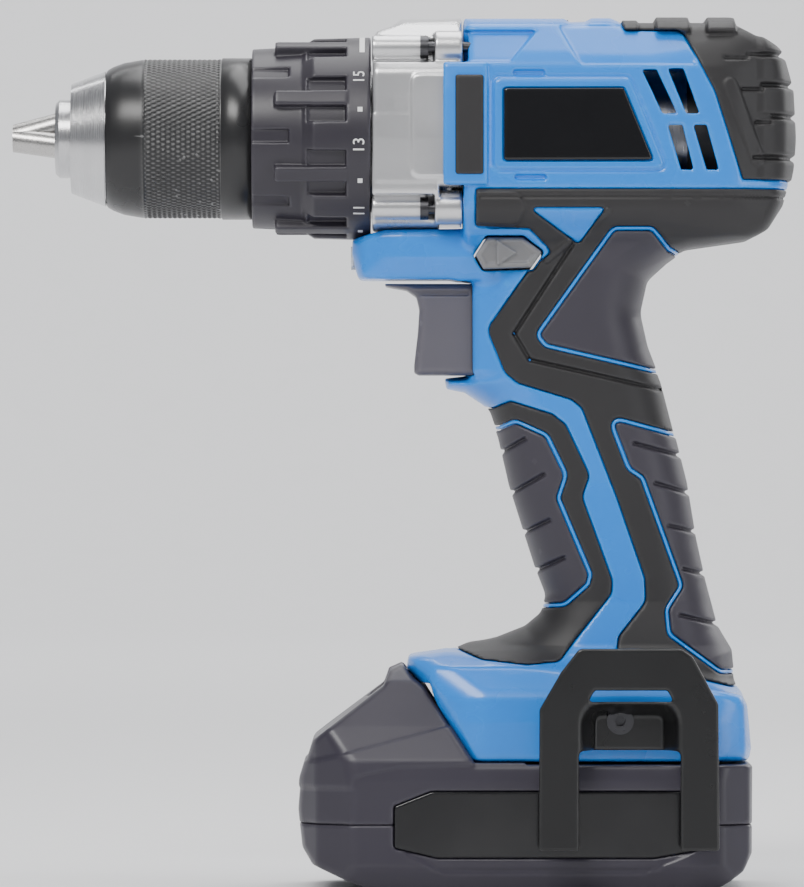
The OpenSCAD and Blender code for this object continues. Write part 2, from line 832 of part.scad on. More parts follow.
lead_paths = [
    [[20, 6, 140.6], [20, 6, 132], [21, 6, 118], [27, 6, 98], [34, 6, 76], [44, 6, 60], [48, 6, 51.4]],
    [[20, 7, 163.4], [20, 7, 170], [31, 11, 176.5], [50, 13, 182], [56.5, 12, 188], [57, 9, 196], [51.9, 9, 200]],
];
module switch_module() {
    color("dimgray") difference() {
        box([-4, -9, 140.5], [24, 9, 163.5]);
        translate([-5, 0, plunger_z]) rotate([0, 90, 0]) cylinder(h = 19, r = 2.7);
        translate([-5, 0, plunger_z]) rotate([0, 90, 0]) cylinder(h = 8, r = 4.6);
    }
    color("crimson") both_sides() for (path = lead_paths) sweep(path, 1.2, 8, [0, 1, 0]);
}

module direction_selector() { color("gray") side(-22, 22) polygon(selector_view); }

module on_light() { translate([-50, 0, 171]) rotate([0, 90, 0]) children(); }
module work_light_lens() {
    color("white") on_light() translate([0, 0, 3]) {
        cylinder(h = 3, r = 3.2);
        translate([0, 0, 3]) cylinder(h = 5, r = 2.4);
    }
}

module terminal_block() {
    color("black") box([46.2, -17, 40], [53, 17, 51.5]);
    color("goldenrod") for (y = [-11, 0, 11]) box([36, y - 0.4, 43.5], [46.2, y + 0.4, 51]);
}

hook_view = [
    [3, 12], [3.6, 50], [9.5, 61], [13.8, 65.8], [41.6, 65.8], [44, 64], [51.4, 51.4],
    [52, 12], [41.4, 12], [41.4, 50.6], [14, 50.6], [14, 12],
];
hook_sheet = 1.6;
hook_face_y = -(foot_half_w + hook_sheet);
hook_stand = 9;
module belt_hook() {
    color("black") difference() {
        union() {
            side(hook_face_y - hook_stand - hook_sheet, hook_face_y - hook_stand) polygon(hook_view);
            box([14, hook_face_y - hook_stand, 50.6], [41.4, hook_face_y + hook_sheet, 52.2]);
            box([14, hook_face_y, 38], [41.4, hook_face_y + hook_sheet, 52.2]);
        }
        side(-far, far) polygon([[16.6, 52.6], [39, 52.6], [37, 55], [18.6, 55]]);
        translate([hook_seat[0], -far / 2, hook_seat[1]]) rotate([-90, 0, 0]) cylinder(h = far, r = 2.1);
    }
}

module belt_hook_screw() {
    color("dimgray") translate([hook_seat[0], hook_face_y - head_h, hook_seat[1]]) rotate([90, 0, 0])
        screw(3.6, 1.6, 11);
}

// --- Battery pack --------------------------------------------------------------------

pack_view = [
    [-33, 61], [-36.9, 59], [-38.8, 54.8], [-45, 50], [-56.6, 41.6], [-58.8, 37],
    [-61.2, 30.3], [-61.3, 19], [-60.6, 13], [-59.3, 9.7], [-57.4, 7.3], [-51, 4.9],
    [-46, 2.4], [-40, 0], [50, 0], [55, 3.4], [58.5, 5.9], [61.2, 9.4], [61.4, 30],
    [60.9, 34.6], [-13.8, 34.6], [-26.7, 55], [-30, 57.6],
];
pack_half = [[14, 62], [24, 56], [30, 45], [pack_half_w - 1, 34.6], [pack_half_w, 31],
             [pack_half_w, 6], [33.6, 0]];
pack_plan = [
    [-62, -26], [-46, -pack_half_w - 1], [54, -pack_half_w - 1], [62, -31], [62, 31],
    [54, pack_half_w + 1], [-46, pack_half_w + 1], [-62, 26],
];

module pack_form(d) {
    intersection() {
        side(-far, far) inset(d) polygon(pack_view);
        section(-far, far) inset(d) polygon(mirrored(pack_half));
        linear_extrude(height = far, center = true) inset(d) polygon(pack_plan);
    }
}

latch_view = [[-38, 58.6], [-36.9, 59.4], [-34, 60.6], [-32.4, 59.6], [-32.4, 49], [-38, 49]];
module pack_tower() {
    box([-22, -19.2, 30], [44, 19.2, 42]);
    box([-22, -24, 41.9], [44, 24, 52]);
}

panel_view = [[-34, 12], [-34, 23.5], [-26, 27.3], [50, 27.3], [50, 12], [40, 7.6], [-24, 7.6]];
module pack_case() {
    difference() {
        union() {
            difference() {
                pack_form(0);
                pack_form(2.2);
            }
            pack_tower();
            intersection() {
                pack_form(1);
                at_pack_screws() cylinder(h = 60, r = 3.4);
            }
        }
        box([-20, -17, 10], [42, 17, 50]);
        for (y = [-11, 0, 11]) box([34, y - 1, 42.8], [60, y + 1, 51.4]);
        side(-12.4, 12.4) offset(delta = gap) polygon([[-38, 70], [-32.4, 70], [-32.4, 44], [-38, 44]]);
        both_sides() side(pack_half_w - 1.2, far) polygon(panel_view);
    }
}

module pack_case_upper() {
    color("dimgray") difference() {
        intersection() {
            pack_case();
            box([-far, -far, pack_seam_z], [far, far, far]);
        }
        at_pack_screws() cylinder(h = 25, r = pack_screw_r);
    }
}

pack_screw_places = [[-51.5, 24], [54, 24]];
pack_screw_z = 7;
pack_screw_r = 1.3;
module at_pack_screws() {
    both_sides() for (p = pack_screw_places) translate([p[0], p[1], 0]) children();
}

module pack_case_lower() {
    color("dimgray") difference() {
        intersection() {
            pack_case();
            box([-far, -far, -1], [far, far, pack_seam_z]);
        }
        at_pack_screws() translate([0, 0, -1]) cylinder(h = 40, r = 1.5);
        at_pack_screws() translate([0, 0, -1]) cylinder(h = pack_screw_z + head_h + 1, r = 2.6);
    }
}

module pack_screws() {
    color("silver") at_pack_screws() translate([0, 0, pack_screw_z]) rotate([180, 0, 0])
        screw(2.4, pack_screw_r, 16);
}

cell_count = 5;
module pack_cells() {
    pitch = 2 * cell_r + 0.4;
    first_x = -(cell_count - 1) / 2 * pitch;
    for (k = [0:cell_count - 1]) translate([first_x + k * pitch, cell_l / 2, 13]) rotate([90, 0, 0])
        color("steelblue") cylinder(h = cell_l, r = cell_r);
    color("silver") both_sides() for (k = [0:1]) box(
        [first_x + 2 * k * pitch - 4, cell_l / 2, 9], [first_x + (2 * k + 1) * pitch + 4, cell_l / 2 + 0.3, 17]
    );
    color("green") box([-18, -16, 26], [40, 16, 27.6]);
}

module pack_side_panels() {
    color("black") both_sides() side(pack_half_w - 1.2, pack_half_w - 0.3) inset(0.15) polygon(panel_view);
}

module pack_latch() { color("gray") side(-12, 12) polygon(latch_view); }

// --- One node at a time --------------------------------------------------------------

housing_left();
housing_right();
overmould_left();
overmould_right();
side_pads();
name_plates();
housing_screws();
gear_housing();
gearbox_case();
gearbox_screws();
clutch_ring_gear();
clutch_pins();
clutch_washer();
clutch_spring();
bushes();
motor_can();
motor_magnets();
motor_end_cap();
motor_brushes();
switch_module();
terminal_block();
work_light_lens();
hook_inserts();
belt_hook();
belt_hook_screw();
trigger_spring();
spindle();
chuck_body();
chuck_screw();
output_carrier();
chuck_sleeve();
chuck_nut();
chuck_jaw(0);  // chuck_jaw_1
chuck_jaw(1);  // chuck_jaw_2
chuck_jaw(2);  // chuck_jaw_3
motor_shaft();
rotor_core();
rotor_windings();
motor_fan();
motor_pinion();
first_carrier();
color("gold") planet(0, first_planet_x, first_planet_w);  // first_planet_1
color("gold") planet(1, first_planet_x, first_planet_w);  // first_planet_2
color("gold") planet(2, first_planet_x, first_planet_w);  // first_planet_3
color("silver") planet(0, second_planet_x, second_planet_w);  // second_planet_1
color("silver") planet(1, second_planet_x, second_planet_w);  // second_planet_2
color("silver") planet(2, second_planet_x, second_planet_w);  // second_planet_3
torque_collar();
clutch_nut();
speed_selector();
shift_fork();
shift_ring_gear();
direction_selector();
trigger();
pack_case_upper();
pack_case_lower();
pack_cells();
pack_side_panels();
pack_screws();
pack_latch();
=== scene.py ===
import math

import bpy
import numpy as np
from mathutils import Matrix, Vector


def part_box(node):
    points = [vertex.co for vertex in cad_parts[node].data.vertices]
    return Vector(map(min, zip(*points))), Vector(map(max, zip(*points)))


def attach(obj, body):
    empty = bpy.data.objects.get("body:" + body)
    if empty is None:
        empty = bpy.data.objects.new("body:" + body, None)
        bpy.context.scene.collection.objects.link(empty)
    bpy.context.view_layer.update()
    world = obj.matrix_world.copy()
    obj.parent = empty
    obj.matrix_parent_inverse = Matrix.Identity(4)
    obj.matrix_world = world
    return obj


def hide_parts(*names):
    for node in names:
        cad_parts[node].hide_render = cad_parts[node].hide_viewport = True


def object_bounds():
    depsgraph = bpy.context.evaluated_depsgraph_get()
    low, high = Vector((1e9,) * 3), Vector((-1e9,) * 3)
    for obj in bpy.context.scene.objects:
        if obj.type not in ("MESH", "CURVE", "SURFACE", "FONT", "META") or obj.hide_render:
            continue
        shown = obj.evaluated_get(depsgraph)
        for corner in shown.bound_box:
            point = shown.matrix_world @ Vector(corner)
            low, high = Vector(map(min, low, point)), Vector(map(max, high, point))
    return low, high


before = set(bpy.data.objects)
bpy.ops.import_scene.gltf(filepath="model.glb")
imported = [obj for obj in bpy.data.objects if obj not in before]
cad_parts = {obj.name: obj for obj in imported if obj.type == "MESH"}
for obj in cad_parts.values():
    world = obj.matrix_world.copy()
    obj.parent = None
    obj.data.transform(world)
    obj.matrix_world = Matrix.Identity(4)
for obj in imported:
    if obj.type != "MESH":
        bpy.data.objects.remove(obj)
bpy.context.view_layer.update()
MM = 0.001
axis_z = (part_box("chuck_nut")[0].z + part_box("chuck_nut")[1].z) * 500

# --- Camera ---------------------------------------------------------------------------
# The drill is seen square on from its left side, through a long lens, with the chuck to
# the left and the pack's base just inside the frame.
frame_height = 0.2395
camera_distance = 2.4
look_at = Vector((-0.0331, -0.02, 0.1206))
camera_data = bpy.data.cameras.new("camera")
camera_data.sensor_fit = "VERTICAL"
camera_data.sensor_height = 36
camera_data.lens = 36 * camera_distance / frame_height
camera = bpy.data.objects.new("camera", camera_data)
camera.location = look_at - Vector((0, camera_distance, 0))
camera.rotation_euler = (math.pi / 2, 0, 0)
bpy.context.scene.collection.objects.link(camera)
bpy.context.scene.camera = camera

# --- Motor ----------------------------------------------------------------------------
# A drawn and zinc plated steel can with two ferrite magnets, a laminated rotor wound in
# copper, a moulded end cap with its carbon brushes, and a moulded fan on the shaft.


def effect(name, inputs, outputs):
    """An empty shader node group: inputs are {name: value}, outputs are names."""
    group = bpy.data.node_groups.new(name, "ShaderNodeTree")
    for label, value in inputs.items():
        kind = "NodeSocketColor" if isinstance(value, tuple) else "NodeSocketFloat"
        socket = group.interface.new_socket(label, in_out="INPUT", socket_type=kind)
        socket.default_value = value
    for label in outputs:
        kind = "NodeSocketColor" if label == "Colour" else "NodeSocketFloat"
        group.interface.new_socket(label, in_out="OUTPUT", socket_type=kind)
    return group, group.nodes.new("NodeGroupInput"), group.nodes.new("NodeGroupOutput")


def node(tree, kind, values=None, **settings):
    """A shader node with its settings, and its inputs set to values or linked from sockets."""
    made = tree.nodes.new("ShaderNode" + kind)
    for key, value in settings.items():
        setattr(made, key, value)
    for key, value in (values or {}).items():
        if isinstance(value, bpy.types.NodeSocket):
            tree.links.new(value, made.inputs[key])
        else:
            made.inputs[key].default_value = value
    return made


def sums(tree, operation, a, b=0.0):
    return node(tree, "Math", {0: a, 1: b}, operation=operation).outputs[0]


# Moulded or cast grain: a fine height, with a slow change of gloss and of shade over it.
grain, given, result = effect(
    "Grain", {"Size mm": 0.3, "Gloss": 0.4, "Gloss change": 0.08, "Shade change": 0.06},
    ("Height", "Roughness", "Shade"),
)
where = node(grain, "TexCoord").outputs["Object"]
fine = sums(grain, "DIVIDE", 1000.0, given.outputs["Size mm"])
fine_noise = node(grain, "TexNoise", {"Vector": where, "Scale": fine, "Detail": 2.0})
slow_noise = node(grain, "TexNoise", {"Vector": where, "Scale": 45.0, "Detail": 3.0})
centred = sums(grain, "SUBTRACT", slow_noise.outputs["Fac"], 0.5)
grain.links.new(fine_noise.outputs["Fac"], result.inputs["Height"])
swing = sums(grain, "MULTIPLY", centred, given.outputs["Gloss change"])
swing = sums(grain, "MULTIPLY", swing, 3.0)
grain.links.new(sums(grain, "ADD", swing, given.outputs["Gloss"]), result.inputs["Roughness"])
shade = sums(grain, "MULTIPLY", centred, given.outputs["Shade change"])
grain.links.new(sums(grain, "ADD", sums(grain, "MULTIPLY", shade, 3.0), 1.0), result.inputs["Shade"])

# Edges: a mask that is 1 on the outer edges where handling polishes or rubs a piece. On the chuck sleeve the same mask
# carries a painted sheen, lighter grey on the knurl's ridges.
wear_and_sheen, given, result = effect("Edge wear", {"Amount": 0.5, "Reach": 0.06}, ("Mask",))
point = node(wear_and_sheen, "NewGeometry").outputs["Pointiness"]
where = node(wear_and_sheen, "TexCoord").outputs["Object"]
patches = node(wear_and_sheen, "TexNoise", {"Vector": where, "Scale": 220.0, "Detail": 4.0})
edge = sums(wear_and_sheen, "DIVIDE", sums(wear_and_sheen, "SUBTRACT", point, 0.5), given.outputs["Reach"])
edge = sums(wear_and_sheen, "MINIMUM", sums(wear_and_sheen, "MAXIMUM", edge, 0.0), 1.0)
edge = sums(wear_and_sheen, "MULTIPLY", edge, patches.outputs["Fac"])
wear_and_sheen.links.new(sums(wear_and_sheen, "MULTIPLY", edge, given.outputs["Amount"]), result.inputs["Mask"])

# Tool lines: fine rings round the spindle axis on turned metal, or strokes along it.
lines, given, result = effect(
    "Tool lines", {"Across x": 1.0, "Across y": 1.0, "Across z": 1.0, "Gloss": 0.3, "Gloss change": 0.2},
    ("Height", "Roughness"),
)
where = node(lines, "TexCoord").outputs["Object"]
stretch = node(lines, "CombineXYZ", {0: given.outputs[0], 1: given.outputs[1], 2: given.outputs[2]})
drawn = node(lines, "VectorMath", {0: where, 1: stretch.outputs[0]}, operation="MULTIPLY")
strokes = node(lines, "TexNoise", {"Vector": drawn.outputs[0], "Scale": 1.0, "Detail": 4.0})
lines.links.new(strokes.outputs["Fac"], result.inputs["Height"])
swing = sums(lines, "MULTIPLY", sums(lines, "SUBTRACT", strokes.outputs["Fac"], 0.5), given.outputs["Gloss change"])
lines.links.new(sums(lines, "ADD", sums(lines, "MULTIPLY", swing, 2.0), given.outputs["Gloss"]), result.inputs["Roughness"])


def material(name, colour, metallic=0.0):
    made = bpy.data.materials.new(name)
    made.use_nodes = True
    skin = made.node_tree.nodes["Principled BSDF"]
    skin.inputs["Base Color"].default_value = (*colour, 1)
    skin.inputs["Metallic"].default_value = metallic
    return made, made.node_tree, skin


def placed(tree, group, **values):
    """The group's node in a material, with its own values. Underscores stand for spaces."""
    made = tree.nodes.new("ShaderNodeGroup")
    made.node_tree = group
    for key, value in values.items():
        made.inputs[key.replace("_", " ")].default_value = value
    return made


def bumped(tree, skin, height, depth):
    bump = node(tree, "Bump", {"Strength": 1.0, "Distance": depth, "Height": height})
    tree.links.new(bump.outputs["Normal"], skin.inputs["Normal"])


def mixed(tree, low, high, factor):
    """A colour that goes from low to high with factor."""
    mix = node(tree, "Mix", data_type="RGBA")
    for socket, value in ((0, factor), (6, low), (7, high)):
        if isinstance(value, bpy.types.NodeSocket):
            tree.links.new(value, mix.inputs[socket])
        else:
            mix.inputs[socket].default_value = value
    return mix.outputs[2]


def grained(name, colour, size, gloss, depth, metallic=0.0, wear_and_sheen_colour=None, change=0.06, sheen=0.0):
    """A moulded, cast or sintered surface, with edges of another colour: polished by handling, and on the chuck sleeve
    a painted sheen.
    """
    made, tree, skin = material(name, colour, metallic)
    skin.inputs["Sheen Weight"].default_value = sheen
    base = placed(tree, grain, Size_mm=size, Gloss=gloss, Shade_change=change)
    shaded = mixed(tree, (0, 0, 0, 1), (*colour, 1), base.outputs["Shade"])
    wear_and_sheen_mask = placed(tree, wear_and_sheen, Amount=0.55 if wear_and_sheen_colour else 0.0)
    shaded = mixed(tree, shaded, (*(wear_and_sheen_colour or colour), 1), wear_and_sheen_mask.outputs["Mask"])
    tree.links.new(shaded, skin.inputs["Base Color"])
    tree.links.new(base.outputs["Roughness"], skin.inputs["Roughness"])
    bumped(tree, skin, base.outputs["Height"], depth)
    return made


def drawn_metal(name, colour, across, gloss, depth=0.00002, change=0.25):
    """Metal with strokes: across is how fast they change along x, y and z, per metre."""
    made, tree, skin = material(name, colour, 1.0)
    strokes = placed(tree, lines, Gloss=gloss, Gloss_change=change)
    for index in range(3):
        strokes.inputs[index].default_value = across[index]
    tree.links.new(strokes.outputs["Roughness"], skin.inputs["Roughness"])
    wear_and_sheen_mask = placed(tree, wear_and_sheen, Amount=0.5)
    brighter = tuple(min(1.0, c * 1.35) for c in colour)
    shaded = mixed(tree, (*colour, 1), (*brighter, 1), wear_and_sheen_mask.outputs["Mask"])
    tree.links.new(shaded, skin.inputs["Base Color"])
    bumped(tree, skin, strokes.outputs["Height"], depth)
    return made


def finish_nodes(made, *names):
    for name in names:
        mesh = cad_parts[name].data
        mesh.materials.clear()
        mesh.materials.append(made)


around_axis = (9000.0, 250.0, 250.0)
finish_nodes(drawn_metal("plated steel", (0.35, 0.35, 0.36), around_axis, 0.35), "motor_can", "rotor_core")
finish_nodes(grained("ferrite", (0.06, 0.06, 0.065), 0.2, 0.6, 0.00004), "motor_magnets")
finish_nodes(
    grained("black nylon", (0.03, 0.03, 0.032), 0.25, 0.45, 0.00003),
    "motor_end_cap", "motor_fan", "switch_module", "terminal_block", "gearbox_case",
)
finish_nodes(drawn_metal("enamelled copper", (0.62, 0.2, 0.06), (300.0, 4000.0, 4000.0), 0.3), "rotor_windings")
finish_nodes(grained("pressed carbon", (0.035, 0.033, 0.03), 0.15, 0.7, 0.00003), "motor_brushes")
finish_nodes(
    grained("oiled bronze", (0.42, 0.22, 0.08), 0.2, 0.32, 0.00002, metallic=1.0), "bushes",
)

# --- Gears, clutch and springs --------------------------------------------------------
# Sintered and hardened steel wheels, turned carriers and pins, and springs of drawn wire.
# They run in grease inside the silver housing.
hardened = drawn_metal("hardened steel", (0.34, 0.34, 0.35), around_axis, 0.28)
finish_nodes(
    hardened, "spindle", "output_carrier", "first_carrier", "motor_shaft", "motor_pinion",
    "clutch_ring_gear", "shift_ring_gear", "clutch_pins", "clutch_washer", "chuck_nut",
    *(f"{stage}_planet_{number}" for stage in ("first", "second") for number in (1, 2, 3)),
)
spring_wire = drawn_metal("drawn wire", (0.4, 0.4, 0.41), (600.0, 600.0, 600.0), 0.25)
finish_nodes(spring_wire, "clutch_spring", "trigger_spring", "shift_fork")
finish_nodes(grained("glass filled nylon", (0.075, 0.065, 0.085), 0.3, 0.5, 0.00004), "clutch_nut")

# --- Gear housing ---------------------------------------------------------------------
# A silver die casting that carries the gears and the torque collar. Four ears with long
# screw bosses hold it to the motor end, and a saddle on top runs back to the shells.
moulding_step = 0.5


def rounded(corners):
    """Outline points for (u, v, radius) corners, with an arc at each corner that has a radius."""
    points = []
    count = len(corners)
    for i, (u, v, radius) in enumerate(corners):
        here = np.array((u, v), float)
        back = np.array(corners[i - 1][:2], float) - here
        on = np.array(corners[(i + 1) % count][:2], float) - here
        reach_back, reach_on = np.linalg.norm(back), np.linalg.norm(on)
        back, on = back / reach_back, on / reach_on
        half = math.acos(max(-1.0, min(1.0, float(back @ on)))) / 2
        cut = min(radius / math.tan(half), reach_back * 0.49, reach_on * 0.49) if half < 1.56 else 0
        if cut < 0.05:
            points.append(here)
            continue
        start, end = here + back * cut, here + on * cut
        steps = 7
        for k in range(steps):
            t = k / (steps - 1)
            points.append((1 - t) ** 2 * start + 2 * t * (1 - t) * here + t * t * end)
    return np.array(points)


def outline(corners, fine=0.25, room=10):
    """Distance in mm from an outline, as a function of two coordinates: negative inside."""
    a = rounded(corners)
    b = np.roll(a, -1, axis=0)
    low = a.min(0) - room
    count = ((a.max(0) + room - low) / fine).astype(int) + 2
    u = (low[0] + fine * np.arange(count[0]))[:, None]
    v = (low[1] + fine * np.arange(count[1]))[None, :]
    best = np.full(count, 1e9)
    inside = np.zeros(count, bool)
    for p, q in zip(a, b):
        e = q - p
        t = np.clip(((u - p[0]) * e[0] + (v - p[1]) * e[1]) / (e @ e), 0, 1)
        best = np.minimum(best, (u - p[0] - t * e[0]) ** 2 + (v - p[1] - t * e[1]) ** 2)
        if p[1] != q[1]:
            inside ^= ((p[1] > v) != (q[1] > v)) & (u < e[0] * (v - p[1]) / e[1] + p[0])
    table = np.where(inside, -1, 1) * np.sqrt(best)
    table = table.astype(np.float32)

    def distance(x, y):
        s = np.clip((x - low[0]) / fine, 0, count[0] - 1.001)
        t = np.clip((y - low[1]) / fine, 0, count[1] - 1.001)
        i, j = s.astype(np.int32), t.astype(np.int32)
        s, t = (s - i).astype(np.float32), (t - j).astype(np.float32)
        near = table[i, j] * (1 - s) + table[i + 1, j] * s
        return near * (1 - t) + (table[i, j + 1] * (1 - s) + table[i + 1, j + 1] * s) * t

    return distance


def both(a, b, radius=0.6):
    """What lies inside both forms, with their common edge rounded."""
    corner = np.sqrt(np.maximum(a + radius, 0) ** 2 + np.maximum(b + radius, 0) ** 2)
    return np.minimum(np.maximum(a, b), -radius) + corner


def either(a, b, radius=0.6):
    """What lies inside either form, with a fillet between them."""
    corner = np.sqrt(np.maximum(radius - a, 0) ** 2 + np.maximum(radius - b, 0) ** 2)
    return np.maximum(np.minimum(a, b), radius) - corner


def without(a, b, radius=0.4):
    return both(a, -b, radius)


def ramp(d, width=0.5):
    """1 well inside an outline and 0 outside it, with a smooth slope that wide between."""
    t = np.clip(0.5 - d / width, 0, 1)
    return t * t * (3 - 2 * t)


def slab(v, low, high):
    return np.maximum(low - v, v - high)


def rod_along_x(x, y, z, cy, cz, radius):
    return np.sqrt((y - cy) ** 2 + (z - cz) ** 2) - radius


def moulding(field, low, high, step):
    """Corners and quads of the surface where field(x, y, z) is 0, all in mm."""
    side = 8
    low = np.array(low, float)
    blocks = np.ceil((np.array(high) - low) / (step * side)).astype(int)
    centres = [low[k] + step * (side * np.arange(blocks[k]) + (side - 1) / 2) for k in range(3)]
    coarse = field(centres[0][:, None, None], centres[1][None, :, None], centres[2][None, None, :])
    coarse = np.broadcast_to(coarse, tuple(blocks))
    near = np.argwhere(np.abs(coarse) < step * side * 0.9 + 2.5)
    grid = np.where(coarse < 0, -1, 1).astype(np.float32)
    for k in range(3):
        grid = np.repeat(grid, side, axis=k)
    cells = grid.reshape(blocks[0], side, blocks[1], side, blocks[2], side).transpose(0, 2, 4, 1, 3, 5)
    ticks = np.arange(side)
    for first in range(0, len(near), 3000):
        some = near[first:first + 3000]
        x, y, z = (low[k] + step * (side * some[:, k, None] + ticks) for k in range(3))
        values = field(x[:, :, None, None], y[:, None, :, None], z[:, None, None, :])
        cells[some[:, 0], some[:, 1], some[:, 2]] = np.broadcast_to(values, (len(some), side, side, side))
    inside = grid < 0
    corners = [(i, j, k) for i in (0, 1) for j in (0, 1) for k in (0, 1)]
    size = np.array(grid.shape) - 1

    def shifted(array, corner):
        i, j, k = corner
        return array[i:i + size[0], j:j + size[1], k:k + size[2]]

    count = sum(shifted(inside, corner).astype(np.uint8) for corner in corners)
    crossed = (count > 0) & (count < 8)
    places = np.argwhere(crossed)
    number = np.full(crossed.shape, -1, np.int32)
    number[crossed] = np.arange(len(places))
    values = {c: grid[places[:, 0] + c[0], places[:, 1] + c[1], places[:, 2] + c[2]] for c in corners}
    total = np.zeros((len(places), 3))
    hits = np.zeros(len(places))
    for p in corners:
        for q in corners:
            if sum(q) - sum(p) != 1 or sum(abs(np.subtract(q, p))) != 1:
                continue
            cut = (values[p] < 0) != (values[q] < 0)
            t = np.where(cut, values[p] / np.where(cut, values[p] - values[q], 1), 0)
            total += np.where(cut[:, None], np.array(p) + t[:, None] * np.subtract(q, p), 0)
            hits += cut
    points = low + step * (places + total / hits[:, None])
    quads = []
    for a in range(3):
        b, c = (a + 1) % 3, (a + 2) % 3
        start = np.moveaxis(inside, (a, b, c), (0, 1, 2))
        cell = np.moveaxis(number, (a, b, c), (0, 1, 2))
        lower, upper = start[:-1, 1:-1, 1:-1], start[1:, 1:-1, 1:-1]
        ring = (cell[:, :-1, :-1], cell[:, 1:, :-1], cell[:, 1:, 1:], cell[:, :-1, 1:])
        for change, order in (((lower & ~upper), (0, 1, 2, 3)), ((~lower & upper), (3, 2, 1, 0))):
            quads.append(np.stack([ring[k][change] for k in order], axis=1))
    quads = np.concatenate(quads)
    h = 0.04
    for _ in range(3):
        x, y, z = points.T
        value = field(x, y, z)
        slope = np.stack([
            field(x + h, y, z) - field(x - h, y, z),
            field(x, y + h, z) - field(x, y - h, z),
            field(x, y, z + h) - field(x, y, z - h),
        ], axis=1) / (2 * h)
        steep = np.maximum((slope ** 2).sum(1), 0.2)
        move = np.clip(value / steep, -step * 0.4, step * 0.4)
        points = points - slope * move[:, None]
    return points, quads


def piece(name, points, faces, made, body, slot, *nodes):
    """A mesh in mm made into an object that rides on a body and stands for CAD nodes."""
    mesh = bpy.data.meshes.new(name)
    faces = np.asarray(faces)
    sides = faces.shape[1]
    mesh.vertices.add(len(points))
    mesh.vertices.foreach_set("co", (np.asarray(points, np.float32) * MM).ravel())
    mesh.loops.add(faces.size)
    mesh.loops.foreach_set("vertex_index", faces.astype(np.int32).ravel())
    mesh.polygons.add(len(faces))
    mesh.polygons.foreach_set("loop_start", np.arange(0, faces.size, sides, dtype=np.int32))
    mesh.update(calc_edges=True)
    mesh.validate()
    mesh.shade_smooth()
    mesh.materials.append(made)
    made_object = bpy.data.objects.new(name, mesh)
    bpy.context.scene.collection.objects.link(made_object)
    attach(made_object, body)
    if nodes:
        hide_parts(*nodes)
    return made_object


def mould(name, field, low, high, made, body, slot, *nodes, step=None):
    points, quads = moulding(field, low, high, step or moulding_step)
    return piece(name, points, quads, made, body, slot, *nodes)


casting_front, casting_back = -41.2, -16.8
drum_r = 26.9
ear_y = 22.3
upper_ear_z, lower_ear_z = 227.4, 184.3
ring_bore_r = 20.8
saddle = outline([(-41.2, 190, 0), (-41.2, 230.2, 1), (-39.6, 232.2, 1), (-36, 233.5, 2), (-33, 235.8, 1.5),
                  (-16.8, 236.2, 0.3), (-16.8, 190, 0)])
casting_end = outline([(-10, 236.4, 0), (11, 236.4, 2), (17, 233.5, 3), (20.5, 230, 3), (26.9, 221, 4),
                       (27.2, 203, 6), (26.6, 188, 4), (20, 179.6, 3), (12, 178.4, 0), (-10, 178.4, 0)])
raised_panel = outline([(-30.6, 192.4, 2.5), (-30.6, 220.2, 2.5), (-10, 220.2, 0), (-10, 192.4, 0)])


def casting(x, y, z):
    y = np.abs(y)
    length = slab(x, casting_front, casting_back)
    body = both(both(casting_end(y, z), saddle(x, z), 1.6), length, 0.5)
    low_front = both(casting_end(y, z), slab(x, casting_front, -23), 0.8)
    body = either(body, both(low_front, z - 210, 1), 0.3)
    body = body - 0.5 * ramp(raised_panel(x, z), 0.8)
    for ear_z in (upper_ear_z, lower_ear_z):
        boss = both(rod_along_x(x, y, z, ear_y - 1, ear_z, 4.6), slab(x, -24.3, casting_back), 0.5)
        channel = both(rod_along_x(x, y, z, ear_y + 1.2, ear_z, 4.1), slab(x, casting_front - 6, -24.4), 0.3)
        body = without(either(body, boss, 0.8), channel, 0.5)
        tube = both(rod_along_x(x, y, z, ear_y - 2.2, ear_z, 3.4), slab(x, casting_front, -26.6), 0.5)
        body = either(body, tube, 0.5)
    out = np.sqrt(y ** 2 + (z - axis_z) ** 2)
    body = either(body, both(out - 13.5, slab(x, -66, -40), 0.4), 0.8)
    for bore_r, start, end in ((9.6, -70, -54), (6.9, -70, -30), (ring_bore_r, -33.2, -20), (23.2, -20.8, -10)):
        body = without(body, np.maximum(out - bore_r, slab(x, start, end)), 0.2)
    fork_slot = np.maximum(np.maximum(slab(x, -20.6, -10), y - 3.4), slab(z, 220, 232.5))
    return without(body, fork_slot, 0.3)


die_cast = grained("silver coated die casting", (0.66, 0.66, 0.67), 0.35, 0.3, 0.00003, metallic=0.85, change=0.04)
mould("gear_housing_casting", casting, (-68, -31, 174), (-15, 31, 240), die_cast, "housing", "die_cast",
      "gear_housing")
black_oxide = drawn_metal("black oxide steel", (0.07, 0.07, 0.075), (900.0, 900.0, 900.0), 0.36)
finish_nodes(black_oxide, "gearbox_screws", "housing_screws", "chuck_screw")

